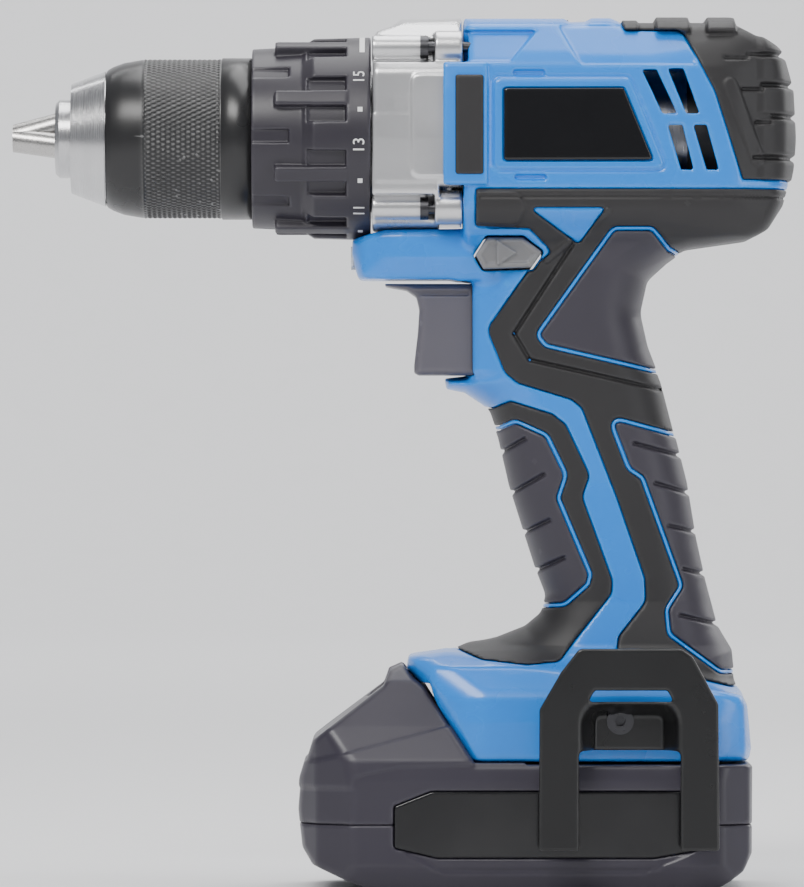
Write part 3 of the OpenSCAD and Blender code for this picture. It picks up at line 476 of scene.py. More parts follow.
# --- Housing shells -------------------------------------------------------------------
# Two glossy glass filled nylon mouldings, bright blue, joined on the centre plane by long
# screws from the right. They are hollow, with air slots over the motor's brushes.
barrel_side = outline([(-16.6, 160, 0), (-16.6, 236.2, 0.8), (10.8, 236.2, 0.8), (12.2, 234.8, 0.6),
                       (16.4, 234.9, 0.8), (18, 236.5, 1), (23.4, 236.5, 1.5), (26.2, 234.4, 2), (56, 234.4, 4),
                       (60.3, 231.8, 2), (69.3, 226.8, 5), (73, 216, 8), (74.1, 203, 18), (73, 195, 6),
                       (71.2, 189, 4), (70, 185, 4), (65.6, 178.4, 4), (60.6, 175.9, 5), (45, 173.6, 6),
                       (38, 171.6, 5), (26, 165, 0)])
barrel_end = outline([(-10, 236.5, 0), (14, 236.5, 3), (21, 233.6, 2), (29.2, 222.8, 3), (30.1, 216, 5),
                      (30.1, 191, 4), (29, 184, 5), (23, 176.6, 6), (13, 170, 6), (-10, 162, 0)])
barrel_plan = outline([(-30, -10, 0), (-30, 30.2, 0), (34, 30.2, 30), (56, 27.6, 24), (69, 21, 10), (75, 8, 8),
                       (75, -10, 0)])
beak_side = outline([(0, 179.2, 0), (-16, 179.2, 3), (-38, 178.4, 1), (-47, 176, 1), (-47.2, 172, 2),
                     (-44.7, 164.7, 2), (-19.4, 164.7, 3), (-13.9, 159, 5), (-13.9, 150, 0), (0, 150, 0)])
beak_end = outline([(-10, 184, 0), (13, 182, 3), (18.2, 177, 2), (19, 171, 1.2), (16, 164.6, 1.5), (-10, 164.6, 0)])
beak_plan = outline([(-47.6, -10, 0), (-47.6, 8, 3), (-43.6, 14.6, 4), (-34, 18.8, 6), (0, 19.6, 0), (0, -10, 0)])
handle_side = outline([(-13.9, 174, 0), (-13.9, 141, 1.5), (-16, 138.9, 0.6), (-21.6, 138.3, 0.6),
                       (-21, 135.4, 0.8), (-16.1, 134.4, 2), (-9.2, 129.8, 4), (-6.6, 122.1, 6), (-3.7, 109.4, 8),
                       (0.1, 97.3, 8), (3.2, 87.6, 6), (6.4, 79.2, 4), (4.7, 74.5, 4), (0.4, 70.9, 4), (-7.2, 67.9, 4),
                       (-16, 65.8, 3), (-14, 48, 0), (56, 46, 0), (56.9, 58, 2), (56.3, 64.5, 3), (52.4, 71, 6),
                       (49.2, 83, 8), (46.6, 94.8, 10), (44.1, 110, 10), (40.9, 122.7, 8), (37.2, 137, 8),
                       (33.4, 147, 8), (31.4, 156, 8), (33.4, 165, 6), (38.7, 172, 3), (40, 182, 0), (-13.9, 182, 0)])
foot_side = outline([(-13.8, 34.5, 0.5), (-26.4, 54.4, 2), (-31.9, 59.8, 1), (-31.3, 63, 1.5), (-20.9, 64.9, 3),
                     (-15.5, 64.3, 4), (0, 61.6, 6), (30, 57.4, 6), (50.4, 54.4, 4), (58.6, 52.9, 1.5),
                     (60.2, 50, 2), (61.7, 38.2, 2), (60.6, 34.5, 0.5)])
foot_end = outline([(-10, 68, 0), (17, 65, 4), (28, 60.4, 4), (33.8, 52.4, 3), (35, 46, 3), (35, 34.5, 0.6),
                    (-10, 34.5, 0)])
foot_plan = outline([(-34, -10, 0), (-34, 13, 4), (-25, 28, 6), (-12, 35, 6), (50, 35, 6), (59, 30, 5),
                     (62.5, 20, 5), (62.5, -10, 0)])
handle_heights = (48, 58, 66, 78, 110, 140, 165)
handle_widths = (28, 24, 19.6, 17.3, 16.9, 17.5, 19.2)


def form(x, y, z):
    """The drill's grown form from which its shells and rubber are cut."""
    y = np.abs(y)
    barrel = both(both(barrel_side(x, z), barrel_end(y, z), 2.5), barrel_plan(x, y), 4)
    beak = both(both(beak_side(x, z), beak_end(y, z), 1.2), beak_plan(x, y), 2.5)
    deep = np.maximum(handle_side(x, z) / 15 + 1, 0)
    across = y / np.interp(z, handle_heights, handle_widths)
    handle = ((deep ** 2.4 + across ** 2.4) ** (1 / 2.4) - 1) * 15
    cheek = both(both(slab(x, -13.9, 2), y - 14.6, 2.4), slab(z, 139, 170), 2)
    handle = either(handle, cheek, 3)
    foot = both(both(foot_side(x, z), foot_end(y, z), 2), foot_plan(x, y), 3)
    return either(either(either(barrel, handle, 6), foot, 5), beak, 1.5)


rear_cap = outline([(26.6, 232, 1), (42.2, 232, 3), (51.1, 215.2, 14), (55.8, 200.6, 8), (58.6, 191.6, 0.6),
                    (84, 191.6, 0), (84, 245, 0), (24.6, 245, 0)])
lower_grip = outline([(-13.4, 189.4, 1), (84, 189.4, 0), (84, 54.5, 0), (56, 54.8, 2), (38, 59.4, 6), (24.5, 63.3, 3),
                      (25.4, 68.6, 3), (32.7, 77.9, 4), (32.4, 84.2, 5), (24.8, 106.1, 20), (15.4, 130.2, 3),
                      (12.6, 132.4, 3), (-1.8, 136.8, 4), (-5.4, 139.6, 4), (-10.3, 151.5, 4), (1.3, 167.9, 2),
                      (7.3, 172.3, 1.5), (1.2, 178.4, 1), (-13.4, 179, 1)])
front_grip = outline([(-40, 130.9, 0), (-8.4, 130.4, 1), (-3.7, 132.2, 2), (7.7, 128.6, 3), (11.3, 125.7, 3),
                      (17.8, 112, 4), (15.7, 106.3, 4), (23.9, 83.6, 4), (23.6, 79.8, 3), (13.9, 67.6, 4),
                      (9.6, 61.7, 3), (0.6, 60.8, 4), (-11.6, 62.2, 3), (-22, 66.4, 0), (-40, 72, 0)])
blue_wedge = outline([(1.4, 184, 0.8), (21.6, 184, 0.8), (14.5, 174.6, 1.2)])
thumb_pad = outline([(24.2, 178, 2), (34.1, 178, 2), (38.6, 172.7, 1), (60, 163, 0), (60, 139, 0), (35, 140.9, 6),
                     (6.1, 147.6, 2), (4.2, 150, 1.5)])
front_pad = outline([(-22, 124.2, 0), (-6.6, 124.2, 1), (-2.4, 126, 2), (5.6, 122.4, 3), (10.6, 112.1, 3),
                     (8.5, 105.8, 3), (17.2, 85.2, 2), (16.6, 82.8, 2), (10.8, 77.6, 3), (6.3, 77.2, 0), (-12, 77.2, 0)])
rear_pad = outline([(23.8, 126.9, 1.6), (41, 122.3, 0), (74, 122, 0), (74, 59.4, 0), (56.5, 59.4, 0), (53, 59.6, 2),
                    (39.6, 69.4, 2.5), (39, 75.6, 3), (43.2, 82, 3), (32.4, 111.7, 3), (28.7, 114.2, 3)])
plate_shape = outline([(-5.9, 196.6, 0.8), (-5.9, 216.4, 0.8), (26.7, 216.5, 1), (34.8, 196.7, 1)])
frame_shape = outline([(-8.2, 194.6, 1.8), (-8.2, 218.9, 1.8), (28, 218.9, 1.8), (37.9, 194.6, 1.8)])
side_pad = outline([(-19, 192.8, 1), (-19, 220.1, 1), (-10.9, 220.1, 1), (-10.9, 192.8, 1)])
lip_side = outline([(-22, 190.2, 1), (-22, 223.4, 1), (-10, 223.4, 0), (-10, 190.2, 0)])
selector_shape = outline([(-13.4, 171.5, 0.6), (-10.3, 176.4, 0.8), (-0.4, 176.4, 0.8), (4.9, 172.3, 0.8),
                          (1.9, 168, 0.8), (-11.2, 167.6, 0.8)])
scoop = outline([(-22, 223.4, 0), (-22, 232, 0), (3.2, 232, 0.6), (-3.9, 223.4, 0.6)])
long_facet = outline([(9, 233.6, 1), (46, 233.6, 0), (46, 222.6, 0), (15, 222.6, 1)])
air_slots = [
    outline([(31.4, 221.3, 0.5), (35.4, 221.3, 0.5), (41, 209.4, 0.5), (37, 209.4, 0.5)]),
    outline([(38.4, 221.6, 0.5), (42.6, 221.6, 0.5), (47, 209.4, 0.5), (43.4, 209.4, 0.5)]),
    outline([(38.4, 206.4, 0.5), (42.4, 206.4, 0.5), (45.4, 194.3, 0.5), (42, 194.3, 0.5)]),
    outline([(45.3, 206.4, 0.5), (48.9, 206.4, 0.5), (52.2, 194.3, 0.5), (48.9, 194.3, 0.5)]),
]


def strip(x, z, start, end, half_width):
    """Distance from a straight groove or bar between two points of the side view."""
    start, along = np.array(start, float), np.subtract(end, start).astype(float)
    t = np.clip(((x - start[0]) * along[0] + (z - start[1]) * along[1]) / (along @ along), 0, 1)
    return np.hypot(x - start[0] - t * along[0], z - start[1] - t * along[1]) - half_width


def pads(x, z):
    return np.minimum(np.minimum(thumb_pad(x, z), front_pad(x, z)), rear_pad(x, z))


def covered(x, z):
    """Where rubber lies over the shells, with the pads let into it."""
    low = np.maximum(lower_grip(x, z), -blue_wedge(x, z))
    return np.minimum(np.minimum(rear_cap(x, z), low), front_grip(x, z))


screw_places = ((-10, 231.6), (30, 229), (64, 214), (64, 190), (12, 170.6), (-25, 171.5), (-4, 134), (34, 122),
                (17, 86), (52, 62.5))


def screw_holes(x, y, z):
    holes = [np.hypot(x - place[0], z - place[1]) - 3.2 for place in screw_places]
    return np.maximum(np.minimum.reduce(holes), 13 - y)


def shell(x, y, z, side):
    beside = ramp(19 - np.abs(y), 3)
    relief = -1.15 * ramp(covered(x, z), 0.4)
    relief = relief + beside * (
        0.6 * ramp(frame_shape(x, z)) - 1.3 * ramp(plate_shape(x, z), 0.4) - 1.3 * ramp(side_pad(x, z), 0.4)
        - 0.5 * ramp(np.abs(frame_shape(x, z) - 0.6) - 0.35)
        - 1.6 * ramp(strip(x, z, (-2.4, 220.4), (4.6, 220.4), 0.8)) - 1.3 * ramp(scoop(x, z), 0.8)
        - 1.6 * ramp(strip(x, z, (-2, 192.3), (5, 192.3), 0.8)) - 0.6 * ramp(long_facet(x, z), 0.7)
    )
    whole = form(x, y, z)
    wide = np.abs(y)
    lip = both(both(lip_side(x, z), barrel_end(wide, z), 0.8), 27.5 - wide, 0.3)
    skin = either(whole - relief, lip, 0.3)
    skin = np.maximum(skin, -(whole + 2.9))
    out = np.sqrt(y ** 2 + (z - axis_z) ** 2)
    openings = [
        np.maximum(out - 26, x + 9), np.maximum(out - 28.1, x + 40.4),
        np.maximum(np.maximum(slab(x, -42, -3), wide - 12), slab(z, 139.1, 164.3)),
        np.maximum(np.maximum(slab(x, -6.5, 17.5), wide - 7), 232.8 - z),
        np.maximum(np.maximum(slab(x, -60, 46), wide - 26), slab(z, 41.7, 56)),
        np.maximum(np.maximum(slab(x, -40, 46), wide - 20), slab(z, 20, 44)),
        np.maximum(rod_along_x(x, y, z, 0, 171, 3.4), x + 30), np.maximum(casting_end(wide, z) - 0.3, x + 16.5),
        selector_shape(x, z) - 0.4,
    ]
    for slot_shape in air_slots:
        openings.append(np.maximum(slot_shape(x, z), 14 - wide))
    if side > 0:
        openings.append(screw_holes(x, y, z))
    for opening in openings:
        skin = without(skin, opening, 0.25)
    return both(skin, 0.04 - y * side, 0.2)


blue = grained("blue nylon", (0.003, 0.225, 0.8), 0.22, 0.28, 0.00001, wear_and_sheen_colour=(0.02, 0.36, 0.9), change=0.05)
blue.node_tree.nodes["Principled BSDF"].inputs["Coat Weight"].default_value = 0.25
blue.node_tree.nodes["Principled BSDF"].inputs["Coat Roughness"].default_value = 0.12
shell_step = 0.62
for side, name in ((-1, "left"), (1, "right")):
    y_range = sorted((0, side * 37))
    mould(
        f"shell_{name}", lambda x, y, z: shell(x, y, z, side), (-49, y_range[0] - 1, 32), (76, y_range[1] + 1, 240),
        blue, "housing", "shell_blue", f"housing_{name}", step=shell_step,
    )

# --- Rubber overmould and pads --------------------------------------------------------
# Soft black elastomer moulded onto the shells: treads over the rear cap, a strip along
# the barrel, and the grip. Greyer pads are let into it, each inside a fine blue line.
tread_slits = (
    ((54, 224.5), (60, 224.5)), ((60, 225.5), (76, 225.5)), ((58.6, 216.1), (64, 216.1)),
    ((64, 217.3), (78, 217.3)), ((62.4, 207.2), (66.4, 207.2)), ((66.9, 208.9), (78, 208.9)),
    ((61.8, 197.7), (78, 197.7)),
)
front_grooves = (((-9, 116.5), (0.2, 121.8)), ((-7, 105), (5.2, 112.1)), ((-3, 94.9), (6.8, 99.8)), ((1, 85), (10.7, 89.6)))
rear_grooves = (
    ((29.7, 120.6), (47, 116.1)), ((35.5, 109.8), (50, 105.7)), ((39.2, 98.3), (52, 95.4)),
    ((43, 86.6), (54, 84)), ((42.2, 74.1), (58, 70.3)),
)
raised_block = outline([(-13.2, 188.4, 0.8), (-13.2, 179.9, 0.8), (-2, 179.4, 2), (0.3, 184, 3), (-2, 188.4, 2)])
web_line = ((13.2, 174.8), (-2.8, 150.3), (1.4, 143.2), (37, 135.2))


def tread(x, y, z):
    """How far the overmould stands up from the form."""
    slits = np.minimum.reduce([strip(x, z, a, b, 0.5) for a, b in tread_slits])
    relief = -0.9 * ramp(slits) + 0.55 * ramp(strip(x, z, (55.4, 217.3), (62.9, 197.2), 1.8), 0.6)
    on_top = ramp(231.6 - z, 2)
    relief = relief + 1.9 * on_top * np.maximum(ramp(slab(x, 35.3, 44.5), 0.8), ramp(slab(x, 49.1, 57), 0.8))
    relief = relief + 0.8 * on_top * ramp(slab(x, 25.6, 30.6), 0.8)
    behind = ramp(63.5 - x, 3)
    for low, high in ((226.4, 231), (218.2, 224.7), (209.7, 216.6), (198.6, 207.9), (191.6, 196.8)):
        relief = relief + 0.7 * behind * ramp(slab(z, low, high), 0.8)
    relief = relief - 0.6 * ramp(strip(x, z, (-12, 187), (72, 187), 0.3)) + 0.7 * ramp(raised_block(x, z), 0.6)
    relief = relief + 0.6 * ramp(strip(x, z, (22.3, 183.2), (6, 170), 0.8), 0.8)
    for a, b in zip(web_line, web_line[1:]):
        relief = relief - 0.8 * ramp(strip(x, z, a, b, 0.45), 0.6)
    return relief


def overmould(x, y, z, side):
    whole = form(x, y, z)
    layer = both(whole - 0.12 - tread(x, y, z), -(whole + 1.7), 0.3)
    layer = both(layer, covered(x, z) + 0.25, 0.45)
    layer = both(layer, 1.3 - pads(x, z), 0.3)
    opening = np.maximum(np.maximum(slab(x, -42, -3), np.abs(y) - 12), slab(z, 139.1, 164.3))
    layer = np.maximum(layer, -np.minimum(opening, selector_shape(x, z) - 0.9))
    if side > 0:
        layer = without(layer, screw_holes(x, y, z), 0.2)
    return np.maximum(layer, 0.04 - y * side)


def pad_layer(x, y, z, side):
    whole = form(x, y, z)
    grooves = np.minimum.reduce([strip(x, z, a, b, 0.45) for a, b in front_grooves + rear_grooves])
    relief = 0.35 - 1.1 * ramp(grooves, 0.9)
    layer = both(whole - relief, -(whole + 1.7), 0.3)
    layer = both(layer, pads(x, z) + 0.1, 0.5)
    if side > 0:
        layer = without(layer, screw_holes(x, y, z), 0.2)
    return np.maximum(layer, 0.04 - y * side)


def pad_rim(x, y, z, side):
    whole = form(x, y, z)
    layer = both(whole - 0.05, -(whole + 1.5), 0.2)
    layer = both(layer, np.abs(pads(x, z) - 0.62) - 0.42, 0.2)
    return np.maximum(layer, 0.04 - y * side)


rubber = grained("black elastomer", (0.016, 0.015, 0.016), 0.16, 0.5, 0.00003, wear_and_sheen_colour=(0.05, 0.048, 0.05), sheen=0.02)
pad_rubber = grained("grey elastomer", (0.034, 0.03, 0.042), 0.16, 0.46, 0.00003, wear_and_sheen_colour=(0.08, 0.075, 0.09), sheen=0.02)
rubber_step = 0.5
rim_step = 0.38
for side, name in ((-1, "left"), (1, "right")):
    y_range = sorted((-side, side * 33))
    low, high = (-25, y_range[0], 50), (77, y_range[1], 240)
    mould(
        f"grip_{name}", lambda x, y, z: overmould(x, y, z, side), low, high, rubber, "housing", "grip_rubber",
        f"overmould_{name}", step=rubber_step,
    )
    mould(
        f"grip_pads_{name}", lambda x, y, z: pad_layer(x, y, z, side), low, high, pad_rubber, "housing", "pad_rubber",
        f"overmould_{name}", step=rubber_step,
    )
    mould(
        f"pad_lines_{name}", lambda x, y, z: pad_rim(x, y, z, side), low, high, blue, "housing", "shell_blue",
        step=rim_step,
    )

# --- Side pads and name plates --------------------------------------------------------
# A dark rubber pad is pressed into each side behind the gear housing, and a plain gloss
# black plate sits in a raised frame.
piano_black = grained("gloss black plastic", (0.004, 0.004, 0.005), 0.6, 0.14, 0.000004, wear_and_sheen_colour=(0.02, 0.02, 0.022))


def name_plate(x, y, z):
    return both(plate_shape(x, z) + 0.25, slab(np.abs(y), 28.9, 30.15), 0.35)


def side_insert(x, y, z):
    return both(side_pad(x, z) + 0.25, slab(np.abs(y), 28.9, 30.7), 0.6)


mould("badge_plates", name_plate, (-8, -32, 194), (37, 32, 219), piano_black, "housing", "gloss_black", "name_plates")
mould("flank_pads", side_insert, (-21, -32, 191), (-8, 32, 222), rubber, "housing", "pad_rubber", "side_pads")

# --- Chuck ----------------------------------------------------------------------------
# A turned steel body on the spindle, three ground jaws, and a black sleeve with a fine
# diamond knurl that turns the nut round the jaws.
turned_steel = drawn_metal("turned steel", (0.56, 0.56, 0.57), (26000.0, 60.0, 60.0), 0.24, depth=0.00001)
finish_nodes(turned_steel, "chuck_body")
finish_nodes(drawn_metal("ground steel", (0.45, 0.44, 0.43), (400.0, 6000.0, 6000.0), 0.28, 0.00001, 0.15), "chuck_jaw_1", "chuck_jaw_2",
             "chuck_jaw_3")
sleeve_front, knurl_front, knurl_back, sleeve_back = -113.4, -103, -82.4, -73.7
around = 640
stations = [(sleeve_front, 17.3), (sleeve_front, 18.3), (-113.0, 18.8), (-111.6, 19.6), (-108.6, 20.7),
            (-105.6, 21.2), (-103.8, 21.5), (knurl_front - 0.2, 21.5)]
stations += [(x, None) for x in np.linspace(knurl_front, knurl_back, 96)]
stations += [(knurl_back + 0.2, 21.5), (knurl_back + 0.5, 22), (sleeve_back - 0.4, 22), (sleeve_back, 21.6),
             (sleeve_back, 19.8), (-107, 19.8), (-108.4, 17.3)]
angles = np.arange(around) * 2 * math.pi / around
rings = []
for x, r in stations:
    if r is None:
        rise = (x - knurl_front) / 1.35
        turns = angles * 100 / (2 * math.pi)
        peak = np.abs((turns + rise / 2) % 1 - 0.5) + np.abs((turns - rise / 2) % 1 - 0.5)
        fade = min(1.0, (x - knurl_front) / 0.6, (knurl_back - x) / 0.6)
        radius = 21.7 - 0.5 * fade * (1 - peak)
    else:
        radius = np.full(around, r)
    rings.append(np.stack([np.full(around, x), radius * np.cos(angles), axis_z + radius * np.sin(angles)], axis=1))
sleeve_points = np.concatenate(rings)
ring_index = np.arange(len(rings))[:, None] * around
next_ring = np.roll(ring_index, -1, axis=0)
k = np.arange(around)[None, :]
sleeve_faces = np.stack([ring_index + k, next_ring + k, next_ring + (k + 1) % around, ring_index + (k + 1) % around], axis=2)
# The grey given for its edges is a painted sheen: it lightens the knurl's raised ridges and the sleeve's sharp edges.
sleeve_black = grained("sleeve black", (0.014, 0.014, 0.015), 0.3, 0.3, 0.00001, wear_and_sheen_colour=(0.5, 0.5, 0.5), change=0.05)
piece("knurled_sleeve", sleeve_points, sleeve_faces.reshape(-1, 4), sleeve_black, "chuck_sleeve", "sleeve_black",
      "chuck_sleeve")

# --- Torque collar --------------------------------------------------------------------
# A dark moulded ring with eight ribs and as many finger notches in its front edge. White
# printed figures and dots stand for its settings, and a bar for drilling.
collar_profile = outline([(-73.8, 20.8, 0), (-73.8, 24.4, 0.5), (-60.2, 25.1, 0.4), (-57, 27.2, 0.6),
                          (-41.6, 27.6, 0.5), (-41.6, 20.8, 0)])


def collar(x, y, z):
    out = np.sqrt(y ** 2 + (z - axis_z) ** 2)
    turn = np.arctan2(z - axis_z, -y) / (math.pi / 4)
    notch_arc = np.abs((turn + 0.5) % 1 - 0.5) * math.pi / 4 * 26
    rib_arc = np.abs(turn % 1 - 0.5) * math.pi / 4 * 26
    body = collar_profile(x, out)
    pocket = np.maximum(np.maximum(slab(rib_arc, 2, 6.4), slab(x, -58.6, -48.2)), 25.4 - out)
    notch = np.maximum(np.maximum(notch_arc - 1.9, x + 63.6), 23.9 - out)
    body = without(without(body, pocket, 0.5), notch, 0.4)
    rib = both(both(rib_arc - 2, slab(x, -67.5, -47.7), 0.6), slab(out, 22, 27.5), 0.6)
    return either(body, rib, 0.4)


collar_plastic = grained("purple grey nylon", (0.026, 0.023, 0.032), 0.25, 0.4, 0.00002, wear_and_sheen_colour=(0.08, 0.075, 0.09))
mould("collar_ring", collar, (-75.5, -29, 174), (-40, 29, 233), collar_plastic, "torque_collar", "dark_plastic",
      "torque_collar", step=0.48)
white_ink = grained("white ink", (0.8, 0.8, 0.8), 0.2, 0.5, 0.000002, change=0.04)


def printed(name, mesh, turn, x):
    """Lays a flat mark, drawn in its own XY plane in mm, on the collar at an angle up from -Y."""
    mark = bpy.data.objects.new(name, mesh)
    mesh.materials.clear()
    mesh.materials.append(white_ink)
    out = Vector((0, -math.cos(turn), math.sin(turn)))
    up = Vector((0, math.sin(turn), math.cos(turn)))
    ahead = Vector((-1, 0, 0))
    for vertex in mesh.vertices:
        flat = vertex.co.copy()
        bend = flat.x / 27.66
        radial = out * math.cos(bend) + up * math.sin(bend)
        radius = 27.56 + flat.z
        vertex.co = (Vector((x, 0, axis_z)) + radial * radius + ahead * flat.y) * MM
    mesh.update()
    bpy.context.scene.collection.objects.link(mark)
    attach(mark, "torque_collar")
    return mark


def ink_bar(width, height):
    mesh = bpy.data.meshes.new("ink")
    steps = 12
    points, faces = [], []
    for i in range(steps + 1):
        u = (i / steps - 0.5) * width
        points += [(u, -height / 2, 0.02), (u, height / 2, 0.02), (u, height / 2, -0.1), (u, -height / 2, -0.1)]
    for i in range(steps):
        for j in range(4):
            faces.append((4 * i + j, 4 * i + 4 + j, 4 * i + 4 + (j + 1) % 4, 4 * i + (j + 1) % 4))
    faces += [(3, 2, 1, 0), (4 * steps, 4 * steps + 1, 4 * steps + 2, 4 * steps + 3)]
    mesh.from_pydata(points, [], faces)
    return mesh


printed("mark_drill", ink_bar(15, 1.4), math.radians(72), -43.9)
for step in range(15):
    number = 15 - step
    turn = math.radians(35.5 - 20.5 * step)
    if number % 2:
        curve = bpy.data.curves.new(f"figure_{number}", "FONT")
        curve.body = str(number)
        curve.size = 4.4
        curve.align_x, curve.align_y = "CENTER", "CENTER"
        curve.extrude = 0.06
        holder = bpy.data.objects.new("holder", curve)
        mesh = bpy.data.meshes.new_from_object(holder)
        bpy.data.objects.remove(holder)
        printed(f"mark_{number}", mesh, turn, -44.6)
    else:
        printed(f"mark_{number}", ink_bar(1.3, 1.3), turn, -44.4)

# --- Controls -------------------------------------------------------------------------
# A warm grey trigger and, over it, the direction selector that slides through the beak.
# The speed selector slides on top, and a small lens lights the work.
trigger_side = outline([(-38, 163.9, 0.5), (-37.4, 163.2, 0.8), (-31.8, 162.2, 2), (-29.2, 160.4, 1.5),
                        (-28.4, 157, 3), (-28.8, 150.7, 8), (-29.8, 142, 3), (-29.8, 139.8, 0.8), (-28.6, 139.1, 0.6),
                        (-12.9, 139.1, 0), (-12.9, 163.9, 0)])


def trigger_form(x, y, z):
    body = both(trigger_side(x, z), np.abs(y) - 11.5, 2)
    guide = np.maximum(np.maximum(slab(z, 160.6, 162), slab(x, -40, -15)), 10.9 - np.abs(y))
    pocket = np.maximum(np.maximum(slab(x, -26, 0), slab(z, 142, 159)), np.abs(y) - 9.3)
    return without(without(body, guide, 0.3), pocket, 0.5)


def selector_form(x, y, z):
    wide = np.abs(y)
    arrow = np.maximum(np.abs(z - 172.1) * 1.6 + x + 4.2 - 2.2, -x - 7.6)
    body = both(selector_shape(x, z) + 0.1, wide - 21.4, 0.9)
    dish = ramp(selector_shape(x, z) + 1.6, 0.8) * ramp(19.5 - wide, 1)
    return body + 0.5 * dish - 0.75 * ramp(arrow, 0.5) * ramp(19.5 - wide, 1)


warm_grey = grained("warm grey nylon", (0.1, 0.095, 0.115), 0.25, 0.4, 0.00002, wear_and_sheen_colour=(0.2, 0.19, 0.22))
light_grey = grained("light grey nylon", (0.17, 0.17, 0.175), 0.25, 0.38, 0.00002, wear_and_sheen_colour=(0.3, 0.3, 0.31))
mould("trigger_cap", trigger_form, (-40, -13, 137), (-11, 13, 166), warm_grey, "trigger", "light_grey_plastic",
      "trigger", step=0.42)
mould("direction_button", selector_form, (-15.5, -24, 165), (7, 24, 179), light_grey, "direction_selector",
      "light_grey_plastic", "direction_selector", step=0.4)
finish_nodes(warm_grey, "speed_selector")
lens, tree, skin = material("clear lens", (0.9, 0.93, 0.95))
skin.inputs["Transmission Weight"].default_value = 0.6
lens_gloss = placed(tree, grain, Size_mm=0.5, Gloss=0.08, Gloss_change=0.05)
tree.links.new(lens_gloss.outputs["Roughness"], skin.inputs["Roughness"])
bumped(tree, skin, lens_gloss.outputs["Height"], 0.000005)
finish_nodes(lens, "work_light_lens")

# --- Battery pack ---------------------------------------------------------------------
# A grey case in an upper and a lower half round five cells side by side. It slides on
# from the front, and its latch stands in a scoop in the sloping nose.
pack_side = outline([(-33, 61, 0.8), (-36.4, 59.4, 0.8), (-38, 55.4, 2), (-57.2, 40.8, 3), (-60.4, 30.3, 4),
                     (-61.2, 22, 6), (-60, 11.7, 3), (-57.2, 7.2, 2), (-46, 2.3, 3), (-39, 0, 2), (50, 0, 2),
                     (55, 3, 2), (58.6, 5.6, 2), (61.2, 10.4, 2), (61.4, 33.8, 0.8), (60.4, 34.4, 0.3), (-13.9, 34.4, 0),
                     (-26.7, 54.8, 1), (-30, 57.4, 0)])
pack_end = outline([(-10, 63, 0), (13, 63, 2), (23, 56.5, 3), (30.6, 44.6, 2), (36, 35.2, 2), (37, 30, 2.5),
                    (37, 7.2, 1.5), (33.6, 0, 2), (-10, 0, 0)])
pack_plan = outline([(-62, -10, 0), (-62, 18, 8), (-56, 29, 6), (-46, 37.2, 3), (52, 37.2, 6), (60, 32, 4),
                     (62, 26, 4), (62, -10, 0)])
side_panel = outline([(-35.4, 11.9, 1), (-35.4, 23.4, 1), (-25.3, 27.4, 1.5), (50, 27.4, 2), (50, 11.9, 1.5),
                      (34.5, 9.2, 2), (-23.7, 9.2, 2)])
panel_band = outline([(-34.6, 11.6, 0.6), (-23.5, 9.4, 1), (33.8, 9.4, 1), (47.4, 11.6, 0.6), (32.4, 5.4, 1.5),
                      (-22.4, 5.4, 1.5)])
pack_facet = outline([(-70, 28, 0), (-70, 35, 0), (-56.4, 35.1, 3), (-45.9, 38, 2), (-21.6, 44.4, 0), (0, 49, 0),
                      (0, 34.3, 0), (-13.1, 34.3, 0), (-33.4, 33.9, 2), (-45.9, 31.1, 1.5), (-46, 28, 0)])
pack_seam = 18.2


def pack_case(x, y, z, part):
    wide = np.abs(y)
    case = both(both(pack_side(x, z), pack_end(wide, z), 1.2), pack_plan(x, wide), 1.2)
    beside = ramp(12 - wide, 4)
    relief = 0.5 * ramp(pack_facet(x, z), 0.8) * beside - 0.6 * ramp(panel_band(x, z), 0.8) * beside
    relief = relief - 0.35 * ramp(np.abs(z - pack_seam) - 0.25, 0.4)
    hollow = case + 2.3
    case = case - relief
    tower = np.maximum(slab(x, -22, 44), slab(z, 30, 52))
    tower = np.maximum(tower, np.where(z < 42, wide - 19.2, wide - 24))
    case = np.minimum(case, tower)
    case = np.maximum(case, -hollow)
    inside = np.maximum(np.maximum(slab(x, -20, 42), wide - 17), slab(z, 10, 50))
    contacts = np.maximum(slab(x, 34, 60), slab(z, 42.8, 51.4))
    contacts = np.maximum(contacts, np.minimum(np.abs(wide - 11) - 1, wide - 1))
    catch = np.maximum(np.maximum(slab(x, -38.6, -32), wide - 12.6), 45 - z)
    thumb = both(strip(x, z, (-45, 59), (-33.5, 51), 4.6), wide - 12.6, 2)
    for opening in (inside, contacts, catch, thumb, np.maximum(side_panel(x, z), 35.7 - wide)):
        case = without(case, opening, 0.3)
    return both(case, (pack_seam - z) * part + 0.03, 0.2)


def panel_form(x, y, z):
    return both(side_panel(x, z) + 0.25, slab(np.abs(y), 35.8, 36.75), 0.3)


latch_side = outline([(-38, 49, 0), (-38, 55.6, 1), (-36.6, 59.5, 0.8), (-33, 60.9, 0.8), (-32.4, 59.6, 0.4),
                      (-32.4, 49, 0)])


def latch_form(x, y, z):
    ribs = ramp(np.abs((z - 0.6 * x) / 1.9 % 1 - 0.5) * 1.9 - 0.5, 0.5) * ramp(np.abs(y) - 9.5, 1)
    return both(latch_side(x, z), np.abs(y) - 12, 0.8) + 0.4 * ribs


